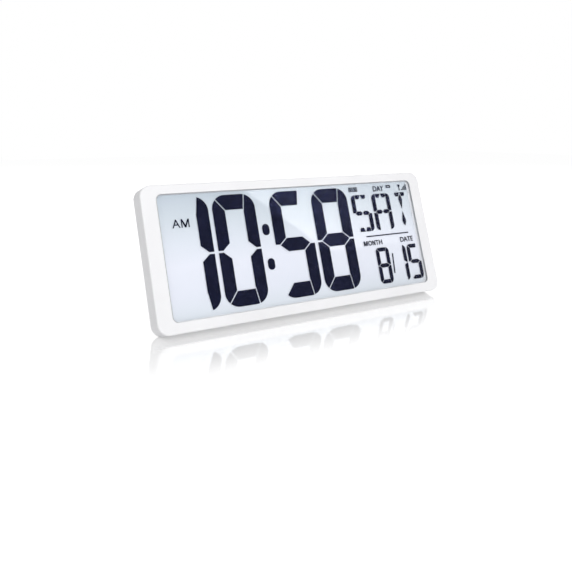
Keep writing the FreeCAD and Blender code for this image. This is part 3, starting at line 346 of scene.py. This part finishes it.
materials = {name: makeFinish(name) for name in finishes}
materials.update({name: makeClearLayer(name) for name in clearLayers})
materials["crystalInk"] = makeCrystalInk()
materials["rearFilm"] = makeRearFilm()
materials["solderMask"] = makeSolderMask()
materials["zebraSilicone"] = makeZebraSilicone()
materials["cellSleeve"] = makeCellSleeve()
print("materials made:", len(materials))

keyNames = ["mode", "alarm", "up", "down", "light"]
dressing = {
    "satinAbs": ["front_frame"],
    "sparkAbs": ["rear_cover", "battery_door", "stand_leg"],
    "keyAbs": [f"{name}_button" for name in keyNames],
    "plainAbs": ["lcd_holder"],
    "rearFilm": ["lcd_reflector"],
    "edgeEpoxy": ["lcd_edge_seal"],
    "crystalInk": ["time_digits", "day_letters", "date_digits", "divider_line"],
    "solderMask": ["main_board"],
    "zebraSilicone": ["elastomer_strips"],
    "blackResin": ["controller_chip", "key_switches", "capacitors", "buzzer"]
    + [f"{name}_plunger" for name in keyNames],
    "drawnCan": ["quartz_crystal"],
    "sinteredFerrite": ["ferrite_rod"],
    "enamelledCopper": ["antenna_coil"],
    "cellSleeve": ["battery_cells"],
    "nickelStrip": ["battery_contacts", "battery_springs"],
    "zincPlate": ["case_screws", "holder_screws", "board_screws", "stand_pin"],
}
for finish, names in dressing.items():
    for name in names:
        nodes[name].data.materials.clear()
        nodes[name].data.materials.append(materials[finish])
print("CAD nodes dressed:", sum(len(names) for names in dressing.values()))


def newPiece(name, mesh, body, finish=None):
    # a finished piece sits at the origin with its place in its mesh, and rides on its body
    piece = bpy.data.objects.new(name, mesh)
    scene.collection.objects.link(piece)
    if finish:
        mesh.materials.clear()
        mesh.materials.append(materials[finish])
    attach(piece, body)
    return piece


def joinMeshes(name, parts):
    # parts are (mesh, matrix) pairs; each mesh is used up
    vertices, faces = [], []
    for mesh, matrix in parts:
        mesh.transform(matrix)
        start = len(vertices)
        vertices += [vertex.co.copy() for vertex in mesh.vertices]
        faces += [[start + index for index in face.vertices] for face in mesh.polygons]
        bpy.data.meshes.remove(mesh)
    joined = bpy.data.meshes.new(name)
    joined.from_pydata(vertices, [], faces)
    joined.update()
    return joined


# The clear layers of the display lie against each other. Each stands for its CAD solid, drawn a hair
# thinner, so that no two faces share one plane and light finds its way between them.
displayLayers = {
    "bond": 0.02 * mm,       # what comes off each face
    "weld": 0.001 * mm,      # corners this close are made one
    "layers": [("window_lens", "window_pane", "clear_acrylic", "hardCoatAcrylic"),
               ("front_polariser", "polariser_sheet", "polariser", "polariserFilm"),
               ("lcd_front_glass", "front_glass_pane", "display_glass", "floatGlass"),
               ("lcd_rear_glass", "rear_glass_pane", "display_glass", "floatGlass")],
}


def makeDisplayLayers():
    for node, name, slot, finish in displayLayers["layers"]:
        mesh = nodes[node].data.copy()
        mesh.name = name
        mesh.transform(fromScene)
        merged = bmesh.new()
        merged.from_mesh(mesh)
        bmesh.ops.remove_doubles(merged, verts=merged.verts, dist=displayLayers["weld"])
        depths = [vertex.co.y for vertex in merged.verts]
        middle = (min(depths) + max(depths)) / 2
        for vertex in merged.verts:
            vertex.co.y += math.copysign(displayLayers["bond"], middle - vertex.co.y)
        merged.to_mesh(mesh)
        merged.free()
        mesh.transform(toScene)
        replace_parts(newPiece(name, mesh, "clock", finish), node)


letterSteps = 4      # straight pieces in each curve of a letter


def textMesh(words, depth, bolder):
    curve = bpy.data.curves.new(words, "FONT")
    curve.body = words
    curve.offset = bolder
    curve.extrude = depth / 2
    curve.resolution_u = letterSteps
    holder = bpy.data.objects.new(words, curve)
    scene.collection.objects.link(holder)
    evaluated = holder.evaluated_get(bpy.context.evaluated_depsgraph_get())
    mesh = bpy.data.meshes.new_from_object(evaluated)
    bpy.data.objects.remove(holder)
    bpy.data.curves.remove(curve)
    return mesh


def fitWords(words, left, right, low, high, depth, bolder=0):
    # the words' mesh stretched to fill a rectangle of the plane, in metres
    mesh = textMesh(words, depth, bolder)
    xs = [vertex.co.x for vertex in mesh.vertices]
    ys = [vertex.co.y for vertex in mesh.vertices]
    wide = (right - left) / (max(xs) - min(xs))
    tall = (high - low) / (max(ys) - min(ys))
    for vertex in mesh.vertices:
        vertex.co.x = left + (vertex.co.x - min(xs)) * wide
        vertex.co.y = low + (vertex.co.y - min(ys)) * tall
    return mesh


def slabMesh(corners, depth):
    # a flat plate through (across, up) corners listed anticlockwise, centred on the plane
    count = len(corners)
    vertices = [(x, y, side * depth / 2) for side in (-1, 1) for x, y in corners]
    faces = [list(range(count))[::-1], [count + place for place in range(count)]]
    for place in range(count):
        following = (place + 1) % count
        faces.append([place, following, count + following, count + place])
    mesh = bpy.data.meshes.new("slab")
    mesh.from_pydata(vertices, [], faces)
    return mesh


def barMesh(start, end, width, depth):
    along = (Vector(end) - Vector(start)).normalized() * (width / 2)
    across = Vector((-along.y, along.x))
    start, end = Vector(start), Vector(end)
    return slabMesh([start - across, end - across, end + across, start + across], depth)


def facing(depth, turned=False):
    # lays a flat piece upright in the clock at this depth, read from the front or, turned, from behind
    upright = Matrix.Rotation(math.radians(90), 4, "X")
    around = Matrix.Rotation(math.radians(180), 4, "Z") if turned else Matrix.Identity(4)
    return toScene @ Matrix.Translation((0, depth, 0)) @ around @ upright


def bandMesh(inner, outer, depth):
    # a flat closed band between two outlines with as many points each
    count = len(inner)
    vertices = [(x, y, side * depth / 2) for side in (-1, 1) for x, y in [*inner, *outer]]
    faces = []
    for place in range(count):
        following = (place + 1) % count
        low = [place, following, count + following, count + place]
        high = [2 * count + corner for corner in low]
        faces += [low, high[::-1]]
        faces += [[low[1], low[0], high[0], high[1]], [low[3], low[2], high[2], high[3]]]
    mesh = bpy.data.meshes.new("band")
    mesh.from_pydata(vertices, [], faces)
    return mesh


def rectangle(left, right, low, high, inset=0):
    return [(left + inset, low + inset), (right - inset, low + inset),
            (right - inset, high - inset), (left + inset, high - inset)]


def circle(radius, sides, across=0):
    turns = [math.tau * place / sides for place in range(sides)]
    return [(across + radius * math.cos(turn), radius * math.sin(turn)) for turn in turns]


def roundedOutline(left, right, low, high, radius, steps=8):
    points = []
    corners = [(right - radius, high - radius), (left + radius, high - radius),
               (left + radius, low + radius), (right - radius, low + radius)]
    for quarter, middle in enumerate(corners):
        for place in range(steps + 1):
            turn = math.pi / 2 * (quarter + place / steps)
            points.append((middle[0] + radius * math.cos(turn), middle[1] + radius * math.sin(turn)))
    return points


def inMetres(values):
    return [value * mm for value in values]


def sizesOf(piece, *names):
    return inMetres(piece[name] for name in names)


# small words and signs in the crystal layer, in the clock's millimetres: (words, left, right, low, high)
# and how much bolder than the typeface. M and N have sharp inner corners, so they are drawn from listed
# points, and their last number is the stroke. A box's bars are (place across it, width).
displaySigns = {
    "depthShare": 0.8,
    "words": [("A", -152.2, -143.6, 103.4, 112, 0), ("DAY", 110.1, 126.4, 127.4, 133.8, 0.016),
              ("O", 88.1, 93.5, 63.2, 69, 0.02), ("T", 99.2, 103.4, 63.3, 68.9, 0.02),
              ("H", 104.3, 109.1, 63.3, 68.9, 0.02), ("DATE", 137.6, 157.7, 63.3, 69.3, 0.016)],
    "letterM": [(-142.4, -133.6, 103.4, 112, 1.1), (81.4, 87.2, 63.3, 68.9, 1.15)],
    "letterN": [(94.3, 98.6, 63.3, 68.9, 1.1)],
    "antenna": {"left": 149.1, "right": 153.5, "low": 126.6, "fork": 130.4, "high": 133.9, "stroke": 1.15},
    "boxes": [{"left": 73.3, "right": 86, "low": 128.5, "high": 133.7, "frame": 0.75,
               "bars": [(0.2, 1.8), (0.42, 1.5), (0.66, 2), (0.84, 1)]},
              {"left": 130.6, "right": 137.6, "low": 130.7, "high": 134.1, "frame": 1.05,
               "bars": [(0.3, 1), (0.7, 1)]}],
    "barInset": 1.3,      # how far the bars stop short of a box, in widths of its frame
}
signDepth = clock["crystalDepth"] * displaySigns["depthShare"]
signPlace = facing(clock["crystalFace"] + clock["crystalDepth"] / 2)

# half the width of the M's point, its shoulders and the N's slant, all in strokes, and the depth of the M's
# notches as a share of its height
letterShape = {"point": 0.62, "shoulder": 1.3, "slant": 1.7, "notch": 0.3}


def letterM(left, right, low, high, stroke, depth):
    # its point comes down to the line
    middle = (left + right) / 2
    point, shoulder = stroke * letterShape["point"], stroke * letterShape["shoulder"]
    notch = (high - low) * letterShape["notch"]
    dip, top = low + notch, high - notch
    return slabMesh([(left, low), (left + stroke, low), (left + stroke, top), (middle - point, low),
                     (middle + point, low), (right - stroke, top), (right - stroke, low), (right, low),
                     (right, high), (right - shoulder, high), (middle, dip), (left + shoulder, high),
                     (left, high)], depth)


def letterN(left, right, low, high, stroke, depth):
    slant = stroke * letterShape["slant"]
    return slabMesh([(left, low), (left + stroke, low), (left + stroke, high - slant), (right - stroke, low),
                     (right, low), (right, high), (right - stroke, high), (right - stroke, low + slant),
                     (left + stroke, high), (left, high)], depth)


def antennaSign(left, right, low, fork, high, stroke, depth):
    middle, half = (left + right) / 2, stroke / 2
    return slabMesh([(middle - half, low), (middle + half, low), (middle + half, fork),
                     (right, high), (left, high), (middle - half, fork)], depth)


def boxSign(box, depth):
    # a thin frame with upright bars inside it
    left, right, low, high, stroke = sizesOf(box, "left", "right", "low", "high", "frame")
    inset = stroke * displaySigns["barInset"]
    parts = [bandMesh(rectangle(left, right, low, high, stroke), rectangle(left, right, low, high), depth)]
    for place, width in box["bars"]:
        across = left + place * (right - left)
        parts.append(barMesh((across, low + inset), (across, high - inset), width * mm, depth))
    return parts


def makeDisplaySigns():
    parts = [fitWords(words, *inMetres(place), signDepth, bolder)
             for words, *place, bolder in displaySigns["words"]]
    parts += [letterM(*inMetres(place), signDepth) for place in displaySigns["letterM"]]
    parts += [letterN(*inMetres(place), signDepth) for place in displaySigns["letterN"]]
    parts.append(antennaSign(*inMetres(displaySigns["antenna"].values()), signDepth))
    for box in displaySigns["boxes"]:
        parts += boxSign(box, signDepth)
    mesh = joinMeshes("display_signs", [(part, signPlace) for part in parts])
    newPiece("display_signs", mesh, "clock", "crystalInk")


# printed names of the keys, read from behind; the cover is mirrored there, so x runs the other way
coverPrint = {"inkDepth": 0.08, "keyFirst": 62, "keyPitch": 14, "letterLow": 22.6, "letterHigh": 24.8,
              "halfWidths": {"mode": 4.6, "alarm": 5.2, "up": 2.2, "down": 4.8, "light": 4.6}}


def keyAcross(place):
    return -(coverPrint["keyFirst"] + place * coverPrint["keyPitch"]) * mm


def makeCoverPrint():
    depth, low, high = sizesOf(coverPrint, "inkDepth", "letterLow", "letterHigh")
    placed = facing(clock["coverFace"] + depth / 2, turned=True)
    parts = []
    for place, name in enumerate(keyNames):
        middle, half = keyAcross(place), coverPrint["halfWidths"][name] * mm
        parts.append((fitWords(name.upper(), middle - half, middle + half, low, high, depth), placed))
    newPiece("cover_print", joinMeshes("cover_print", parts), "clock", "padInk")


# white print round the edge of the reflector, pale as painted light that lifts the shade under the lip: it
# reaches out under the lip, and in by these insets from the window's edge, on the left, on the right, below
# and above
windowBorder = {"depth": 3.73, "inner": (2.4, 2.4, 1.2, 0.6), "innerRadius": 4, "reach": 1.6,
                "inkDepth": 0.02}


def windowOutline(insets, radius):
    # the window's own outline moved inwards
    left, right, low, high = inMetres(insets)
    side = clock["windowSide"]
    return roundedOutline(left - side, side - right, clock["windowLow"] + low, clock["windowTop"] - high,
                          radius * mm)


def makeWindowBorder():
    reach = windowBorder["reach"]
    inner = windowOutline(windowBorder["inner"], windowBorder["innerRadius"])
    outer = windowOutline([-reach] * 4, clock["windowRadius"] / mm + reach)
    band = bandMesh(inner, outer, windowBorder["inkDepth"] * mm)
    mesh = joinMeshes("window_border", [(band, facing(windowBorder["depth"] * mm))])
    newPiece("window_border", mesh, "clock", "borderInkPaintedLight")


# A grey bead fills the corner between lip and window; its grey is painted shade for the shaded gap line
# there, and its slopes take real light.
# It slopes from the lip's wall down to the window, and its foot is wide on the left, where the window leaves
# its gap.
windowBead = {"front": 0.25, "back": 0.97, "foot": (1.3, 0.2, 0.2, 0.2), "gap": 0.02}


def makeWindowBead():
    radius, gap = clock["windowRadius"] / mm, windowBead["gap"]
    wall, foot = windowOutline([gap] * 4, radius - gap), windowOutline(windowBead["foot"], radius)
    count = len(wall)
    tall = (windowBead["back"] - windowBead["front"]) * mm
    vertices = [(x, y, tall) for x, y in wall] + [(x, y, 0) for x, y in [*wall, *foot]]
    faces = []
    for place in range(count):
        following = (place + 1) % count
        for ring in range(3):
            first, second = ring * count, (ring + 1) % 3 * count
            faces.append([first + place, second + place, second + following, first + following])
    mesh = bpy.data.meshes.new("bead")
    mesh.from_pydata(vertices, [], faces)
    mesh = joinMeshes("window_bead", [(mesh, facing(windowBead["back"] * mm))])
    newPiece("window_bead", mesh, "clock", "beadPaintedShade")


# marks on the tops of the keys: dots, a ring or a pointed arrow, all in the clock's millimetres
keyMarks = {"face": 27.8, "height": 30, "inkDepth": 0.1, "dot": 0.75, "dotPitch": 2.2, "ring": (1.1, 1.7),
            "arrow": 1.7, "arrowFoot": 0.7, "dotSides": 24, "ringSides": 32}


def makeKeyMarks():
    depth, dot, pitch, arrow = sizesOf(keyMarks, "inkDepth", "dot", "dotPitch", "arrow")
    foot, sides = arrow * keyMarks["arrowFoot"], keyMarks["dotSides"]
    rings = [circle(radius, keyMarks["ringSides"]) for radius in inMetres(keyMarks["ring"])]
    marks = {"mode": [slabMesh(circle(dot, sides), depth)],
             "alarm": [slabMesh(circle(dot, sides, side * pitch / 2), depth) for side in (-1, 1)],
             "up": [slabMesh([(-arrow, -foot), (arrow, -foot), (0, arrow)], depth)],
             "down": [slabMesh([(-arrow, foot), (0, -arrow), (arrow, foot)], depth)],
             "light": [bandMesh(*rings, depth)]}
    for place, name in enumerate(keyNames):
        placed = (facing(keyMarks["face"] * mm + depth / 2, turned=True)
                  @ Matrix.Translation((keyAcross(place), keyMarks["height"] * mm, 0)))
        mesh = joinMeshes(f"{name}_mark", [(part, placed) for part in marks[name]])
        newPiece(f"{name}_mark", mesh, f"{name}_button", "padInk")


# word and arrow moulded proud of the battery door, below its finger grip; the N is drawn from listed points
doorMark = {"proud": 0.3, "low": 112, "high": 115.2, "words": (-8, 3.3), "bolder": 0.014,
            "letterN": (4.6, 8), "stroke": 0.7, "arrowLow": 118, "arrowHigh": 122, "arrowHalf": 3.4}


def makeDoorMark():
    depth, low, high, stroke = sizesOf(doorMark, "proud", "low", "high", "stroke")
    wide, base, tip = sizesOf(doorMark, "arrowHalf", "arrowLow", "arrowHigh")
    placed = facing(clock["coverFace"] + depth / 2, turned=True)
    parts = [fitWords("OPE", *inMetres(doorMark["words"]), low, high, depth, doorMark["bolder"]),
             letterN(*inMetres(doorMark["letterN"]), low, high, stroke, depth),
             slabMesh([(-wide, base), (wide, base), (0, tip)], depth)]
    mesh = joinMeshes("door_mark", [(part, placed) for part in parts])
    newPiece("door_mark", mesh, "battery_door", "sparkAbs")


# raised rims round the two hanging holes, whose slots run upwards for the shank of a screw
holeRim = {"across": 110, "height": 116, "radius": 4.25, "slotRadius": 2.1, "slotLength": 8, "gap": 0.4,
           "width": 1.3, "proud": 0.6}


def keyholeOutline(growth, steps=24):
    hole, slot = holeRim["radius"] + growth, holeRim["slotRadius"] + growth
    meet = math.asin(slot / hole)
    under = math.tau - 2 * meet
    points = []
    for place in range(steps + 1):
        turn = math.pi / 2 + meet + under * place / steps
        points.append((hole * math.cos(turn), hole * math.sin(turn)))
    for place in range(steps // 2 + 1):
        turn = math.pi * place / (steps // 2)
        points.append((slot * math.cos(turn), holeRim["slotLength"] + slot * math.sin(turn)))
    return [(x * mm, y * mm) for x, y in points]


def makeHoleRims():
    depth, across, height = sizesOf(holeRim, "proud", "across", "height")
    inner = keyholeOutline(holeRim["gap"])
    outer = keyholeOutline(holeRim["gap"] + holeRim["width"])
    parts = []
    for side in (-1, 1):
        placed = (facing(clock["coverFace"] + depth / 2, turned=True)
                  @ Matrix.Translation((side * across, height, 0)))
        parts.append((bandMesh(inner, outer, depth), placed))
    newPiece("hole_rims", joinMeshes("hole_rims", parts), "clock", "sparkAbs")


# poles printed on the cells' sleeves; the upper and lower cells point one way, the middle one the other, and
# the plus's upright is a little thinner than its bar, so that their faces don't share a plane
cellMarks = {"heights": (98.4, 113, 127.6), "nubSides": (1, -1, 1), "place": 15.5, "face": 25.12,
             "inkDepth": 0.25, "uprightShare": 0.9, "arm": 1.5, "stroke": 0.7}


def makeCellMarks():
    depth, arm, stroke, away = sizesOf(cellMarks, "inkDepth", "arm", "stroke", "place")
    placed = facing(cellMarks["face"] * mm - depth / 2, turned=True)
    parts = []
    for up, side in zip(inMetres(cellMarks["heights"]), cellMarks["nubSides"]):
        plus, minus = -side * away, side * away
        parts.append(barMesh((plus - arm, up), (plus + arm, up), stroke, depth))
        parts.append(barMesh((plus, up - arm), (plus, up + arm), stroke, depth * cellMarks["uprightShare"]))
        parts.append(barMesh((minus - arm, up), (minus + arm, up), stroke, depth))
    mesh = joinMeshes("cell_marks", [(part, placed) for part in parts])
    newPiece("cell_marks", mesh, "clock", "paleInk")


makeDisplayLayers()
makeWindowBorder()
makeWindowBead()
makeDisplaySigns()
makeCoverPrint()
makeKeyMarks()
makeDoorMark()
makeHoleRims()
makeCellMarks()
print("words and signs made")


def newTree(name, inputs):
    # inputs are (name, socket kind, default) rows; the tree gives geometry back
    tree = bpy.data.node_groups.new(name, "GeometryNodeTree")
    tree.interface.new_socket("Geometry", in_out="OUTPUT", socket_type="NodeSocketGeometry")
    for label, kind, default in inputs:
        socket = tree.interface.new_socket(label, in_out="INPUT", socket_type=kind)
        if default is not None:
            socket.default_value = default
    given = addNode(tree, "NodeGroupInput").outputs
    result = addNode(tree, "NodeGroupOutput")
    return tree, given, result


def closeTree(tree, geometry, material, result):
    whole = addNode(tree, "GeometryNodeRealizeInstances", inputs={"Geometry": geometry})
    painted = addNode(tree, "GeometryNodeSetMaterial", inputs={
        "Geometry": whole.outputs["Geometry"], "Material": material})
    tree.links.new(painted.outputs["Geometry"], result.inputs["Geometry"])


def growPiece(name, tree, values, placed, body):
    # runs a tree with these inputs and keeps the result as a plain mesh, laid out by the matrix
    seed = bpy.data.meshes.new(name)
    holder = bpy.data.objects.new(name, seed)
    scene.collection.objects.link(holder)
    modifier = holder.modifiers.new("grow", "NODES")
    modifier.node_group = tree
    for item in tree.interface.items_tree:
        if item.in_out == "INPUT" and item.name in values:
            modifier[item.identifier] = values[item.name]
    evaluated = holder.evaluated_get(bpy.context.evaluated_depsgraph_get())
    mesh = bpy.data.meshes.new_from_object(evaluated)
    holder.modifiers.remove(modifier)
    bpy.data.objects.remove(holder)
    bpy.data.meshes.remove(seed)
    mesh.transform(placed)
    return newPiece(name, mesh, body)


def makeBarTree():
    # upright bars in a row from the left, each taller than the one before by Rise
    tree, given, result = newTree("bar row", [
        ("Count", "NodeSocketInt", 4),
        ("Pitch", "NodeSocketFloat", 0.002),
        ("Width", "NodeSocketFloat", 0.001),
        ("Depth", "NodeSocketFloat", 0.001),
        ("Height", "NodeSocketFloat", 0.002),
        ("Rise", "NodeSocketFloat", 0),
        ("Material", "NodeSocketMaterial", None)])
    step = addNode(tree, "ShaderNodeCombineXYZ", inputs={"X": given["Pitch"]})
    line = addNode(tree, "GeometryNodeMeshLine", inputs={
        "Count": given["Count"], "Offset": step.outputs["Vector"]})
    block = addNode(tree, "GeometryNodeMeshCube")
    raised = addNode(tree, "GeometryNodeTransform", inputs={
        "Geometry": block.outputs["Mesh"], "Translation": (0, 0.5, 0)})
    index = addNode(tree, "GeometryNodeInputIndex")
    height = addNode(tree, "ShaderNodeMath", {"operation": "MULTIPLY_ADD"}, {
        0: index.outputs["Index"], 1: given["Rise"], 2: given["Height"]})
    size = addNode(tree, "ShaderNodeCombineXYZ", inputs={
        "X": given["Width"], "Y": height.outputs["Value"], "Z": given["Depth"]})
    bars = addNode(tree, "GeometryNodeInstanceOnPoints", inputs={
        "Points": line.outputs["Mesh"], "Instance": raised.outputs["Geometry"],
        "Scale": size.outputs["Vector"]})
    closeTree(tree, bars.outputs["Instances"], given["Material"], result)
    return tree


barTree = makeBarTree()

signalBars = {"count": 4, "left": 155.4, "pitch": 2.2, "width": 1.25, "low": 126.8, "height": 1.6,
              "rise": 1.85}


def makeSignalBars():
    left, low, pitch, width, height, rise = sizesOf(
        signalBars, "left", "low", "pitch", "width", "height", "rise")
    growPiece("signal_bars", barTree, {
        "Count": signalBars["count"], "Pitch": pitch, "Width": width, "Depth": signDepth, "Height": height,
        "Rise": rise, "Material": materials["crystalInk"]},
        signPlace @ Matrix.Translation((left, low, 0)), "clock")


# grip ribs across the foot of the stand, laid out on the folded leg and swung out with it
standRibs = {"count": 6, "pitch": 2.6, "width": 1.1, "length": 26, "proud": 0.4, "low": 9, "open": 32}


def makeStandRibs():
    pitch, width, length, proud, low = sizesOf(standRibs, "pitch", "width", "length", "proud", "low")
    swing = Matrix.Translation(pinPlace) @ Matrix.Rotation(math.radians(standRibs["open"]), 4, "X")
    sideways = Matrix.Rotation(math.radians(90), 4, "Z") @ Matrix.Translation((0, -length / 2, 0))
    folded = (fromScene @ facing(clock["coverFace"] + proud / 2, turned=True)
              @ Matrix.Translation((0, low, 0)) @ sideways)
    placed = toScene @ swing @ Matrix.Translation(-pinPlace) @ folded
    growPiece("stand_ribs", barTree, {
        "Count": standRibs["count"], "Pitch": pitch, "Width": width, "Depth": proud, "Height": length,
        "Rise": 0, "Material": materials["sparkAbs"]},
        placed, "stand")


# turns of enamelled wire on the receiver's rod, drawn at 0.6 mm
windings = {"across": -150.5, "depth": 13, "low": 71, "length": 18, "radius": 5.35, "wire": 0.29,
            "pitch": 0.6, "ringSides": 40, "wireSides": 8}


def makeRingTree():
    # wire rings side by side along a rod
    tree, given, result = newTree("ring row", [
        ("Count", "NodeSocketInt", 10),
        ("Pitch", "NodeSocketFloat", 0.001),
        ("Radius", "NodeSocketFloat", 0.005),
        ("Wire", "NodeSocketFloat", 0.0003),
        ("Material", "NodeSocketMaterial", None)])
    step = addNode(tree, "ShaderNodeCombineXYZ", inputs={"Z": given["Pitch"]})
    line = addNode(tree, "GeometryNodeMeshLine", inputs={
        "Count": given["Count"], "Offset": step.outputs["Vector"]})
    path = addNode(tree, "GeometryNodeCurvePrimitiveCircle", inputs={
        "Resolution": windings["ringSides"], "Radius": given["Radius"]})
    section = addNode(tree, "GeometryNodeCurvePrimitiveCircle", inputs={
        "Resolution": windings["wireSides"], "Radius": given["Wire"]})
    ring = addNode(tree, "GeometryNodeCurveToMesh", inputs={
        "Curve": path.outputs["Curve"], "Profile Curve": section.outputs["Curve"]})
    rings = addNode(tree, "GeometryNodeInstanceOnPoints", inputs={
        "Points": line.outputs["Mesh"], "Instance": ring.outputs["Mesh"]})
    closeTree(tree, rings.outputs["Instances"], given["Material"], result)
    return tree


def makeWindings():
    across, depth, low, length, radius, wire, pitch = sizesOf(
        windings, "across", "depth", "low", "length", "radius", "wire", "pitch")
    growPiece("antenna_windings", makeRingTree(), {
        "Count": round(length / pitch), "Pitch": pitch, "Radius": radius, "Wire": wire,
        "Material": materials["enamelledCopper"]},
        toScene @ Matrix.Translation((across, depth, low + pitch / 2)), "clock")


makeSignalBars()
makeStandRibs()
makeWindings()
print("repeated pieces grown")


camera = {
    "place": Vector((-449.8, -672.23, 204.29)) * mm,
    "look": Vector((0.56893, 0.81657, -0.09768)),
    "lens": 45.93,
    "shift": (-0.0482, -0.1562),
    "near": 0.01,
}


def makeCamera():
    lens = bpy.data.cameras.new("camera")
    lens.lens = camera["lens"]
    lens.shift_x, lens.shift_y = camera["shift"]
    lens.clip_start = camera["near"]
    holder = bpy.data.objects.new("camera", lens)
    holder.location = camera["place"]
    holder.rotation_euler = camera["look"].to_track_quat("-Z", "Y").to_euler()
    scene.collection.objects.link(holder)
    scene.camera = holder


studio = {
    "ambient": 0.36,
    "lamps": {"key": {"place": (-0.6, -1.9, 0.9), "size": 1.1, "power": 27},
              "back": {"place": (1, 1.5, 1.6), "size": 0.9, "power": 30}},
    "aim": (0, 0, 0.07),
    "floorTone": "#E8E8E8",
    "floorHalf": 4,
    "floorDrop": 0.03 * mm,
    "shadowShare": 0.35,     # how much of the seen floor takes shadows; the rest is plain white
    "shadeLevel": 0.4,       # how bright the lamps make a white floor
    "mirrorShare": 0.53,     # at the clock's foot
    "mirrorReach": 0.152,    # how far from the clock it has faded out
    "mirrorRoughness": 0.03,
    "glareStrength": 4.5,
    "clearBounces": 24,
}
white = (1, 1, 1, 1)


def seenShare(tree):
    # 1 for rays from the camera, also by way of gloss or glass, and 0 for the others
    path = addNode(tree, "ShaderNodeLightPath").outputs
    share = path["Is Camera Ray"]
    for name in ("Is Glossy Ray", "Is Transmission Ray"):
        share = addNode(tree, "ShaderNodeMath", {"operation": "MAXIMUM"}, {
            0: share, 1: path[name]}).outputs["Value"]
    return share


def makeWorld():
    world = bpy.data.worlds.new("studio")
    scene.world = world
    world.use_nodes = True
    tree = world.node_tree
    tree.nodes.clear()
    ambient, bright = [
        addNode(tree, "ShaderNodeBackground", inputs={"Color": white, "Strength": strength})
        for strength in (studio["ambient"], 1)]
    shader = addNode(tree, "ShaderNodeMixShader", inputs={
        "Fac": seenShare(tree), 1: ambient.outputs["Background"], 2: bright.outputs["Background"]})
    addNode(tree, "ShaderNodeOutputWorld", inputs={"Surface": shader.outputs["Shader"]})


def makeFloor():
    # a white gloss table: its shine shows the foot of the clock and fades with distance from it
    mesh = bpy.data.meshes.new("floor")
    half = studio["floorHalf"]
    corners = [(x, y, 0) for x, y in rectangle(-half, half, -half, half)]
    mesh.from_pydata(corners, [], [(0, 1, 2, 3)])
    floor = bpy.data.objects.new("floor", mesh)
    floor.location.z = -studio["floorDrop"]
    scene.collection.objects.link(floor)
    material, tree = newMaterial("floor")
    lit = addNode(tree, "ShaderNodeBsdfDiffuse", inputs={"Color": linear(studio["floorTone"])})
    share = studio["shadowShare"]
    faint = addNode(tree, "ShaderNodeBsdfDiffuse", inputs={"Color": (share, share, share, 1)})
    glow = addNode(tree, "ShaderNodeEmission", inputs={"Strength": 1 - share * studio["shadeLevel"]})
    seen = addNode(tree, "ShaderNodeAddShader", inputs={
        0: faint.outputs["BSDF"], 1: glow.outputs["Emission"]})
    base = addNode(tree, "ShaderNodeMixShader", inputs={
        "Fac": seenShare(tree), 1: lit.outputs["BSDF"], 2: seen.outputs["Shader"]})
    place = addNode(tree, "ShaderNodeSeparateXYZ", inputs={
        "Vector": addNode(tree, "ShaderNodeTexCoord").outputs["Object"]})
    away = addNode(tree, "ShaderNodeMath", {"operation": "ABSOLUTE"}, {0: place.outputs["Y"]})
    front = -cadBounds[0][1]
    fade = addNode(tree, "ShaderNodeMapRange", {"interpolation_type": "SMOOTHSTEP"}, {
        "Value": away.outputs["Value"], "From Min": front, "From Max": front + studio["mirrorReach"],
        "To Min": studio["mirrorShare"], "To Max": 0})
    shine = addNode(tree, "ShaderNodeBsdfGlossy", inputs={
        "Color": white, "Roughness": studio["mirrorRoughness"]})
    shader = addNode(tree, "ShaderNodeMixShader", inputs={
        "Fac": fade.outputs["Result"], 1: base.outputs["Shader"], 2: shine.outputs["BSDF"]})
    addNode(tree, "ShaderNodeOutputMaterial", inputs={"Surface": shader.outputs["Shader"]})
    mesh.materials.append(material)


def makeLamps():
    for name, lamp in studio["lamps"].items():
        light = bpy.data.lights.new(name, "AREA")
        light.size = lamp["size"]
        light.energy = lamp["power"]
        holder = bpy.data.objects.new(name, light)
        holder.location = lamp["place"]
        aim = Vector(studio["aim"]) - Vector(lamp["place"])
        holder.rotation_euler = aim.to_track_quat("-Z", "Y").to_euler()
        holder.visible_glossy = False
        scene.collection.objects.link(holder)


# a soft panel for the glare on the display, which only glossy rays see; its corners lie where these display
# points, in the clock's millimetres, mirror the camera, each with the share of light it gives
glare = {"reach": 1.5, "corners": [(-80, 150, 1), (30, 63.4, 0.55), (180, 63.4, 0), (180, 150, 0.2)]}


def makeGlarePanel():
    outward = (leanTurn @ Vector((0, -1, 0))).normalized()
    corners = []
    for across, up, _ in glare["corners"]:
        point = toScene @ Vector((across * mm, clock["crystalFace"], up * mm))
        ray = (point - camera["place"]).normalized()
        corners.append(point + ray.reflect(outward) * glare["reach"])
    mesh = bpy.data.meshes.new("glarePanel")
    mesh.from_pydata(corners, [], [(0, 1, 2, 3)])
    light = mesh.color_attributes.new("light", "FLOAT_COLOR", "POINT")
    for place, (_, _, share) in enumerate(glare["corners"]):
        light.data[place].color = (share, share, share, 1)
    panel = bpy.data.objects.new("glarePanel", mesh)
    scene.collection.objects.link(panel)
    material, tree = newMaterial("glarePanel")
    share = addNode(tree, "ShaderNodeAttribute", {"attribute_name": "light"}).outputs["Color"]
    glow = addNode(tree, "ShaderNodeEmission", inputs={"Color": share, "Strength": studio["glareStrength"]})
    clear = addNode(tree, "ShaderNodeBsdfTransparent")
    both = addNode(tree, "ShaderNodeAddShader", inputs={
        0: glow.outputs["Emission"], 1: clear.outputs["BSDF"]})
    addNode(tree, "ShaderNodeOutputMaterial", inputs={"Surface": both.outputs["Shader"]})
    mesh.materials.append(material)
    panel.visible_camera = False
    panel.visible_diffuse = False
    panel.visible_shadow = False
    panel.visible_transmission = False


makeCamera()
makeWorld()
makeFloor()
makeLamps()
makeGlarePanel()
scene.view_settings.view_transform = "Standard"
scene.cycles.transparent_max_bounces = studio["clearBounces"]
print("studio set")
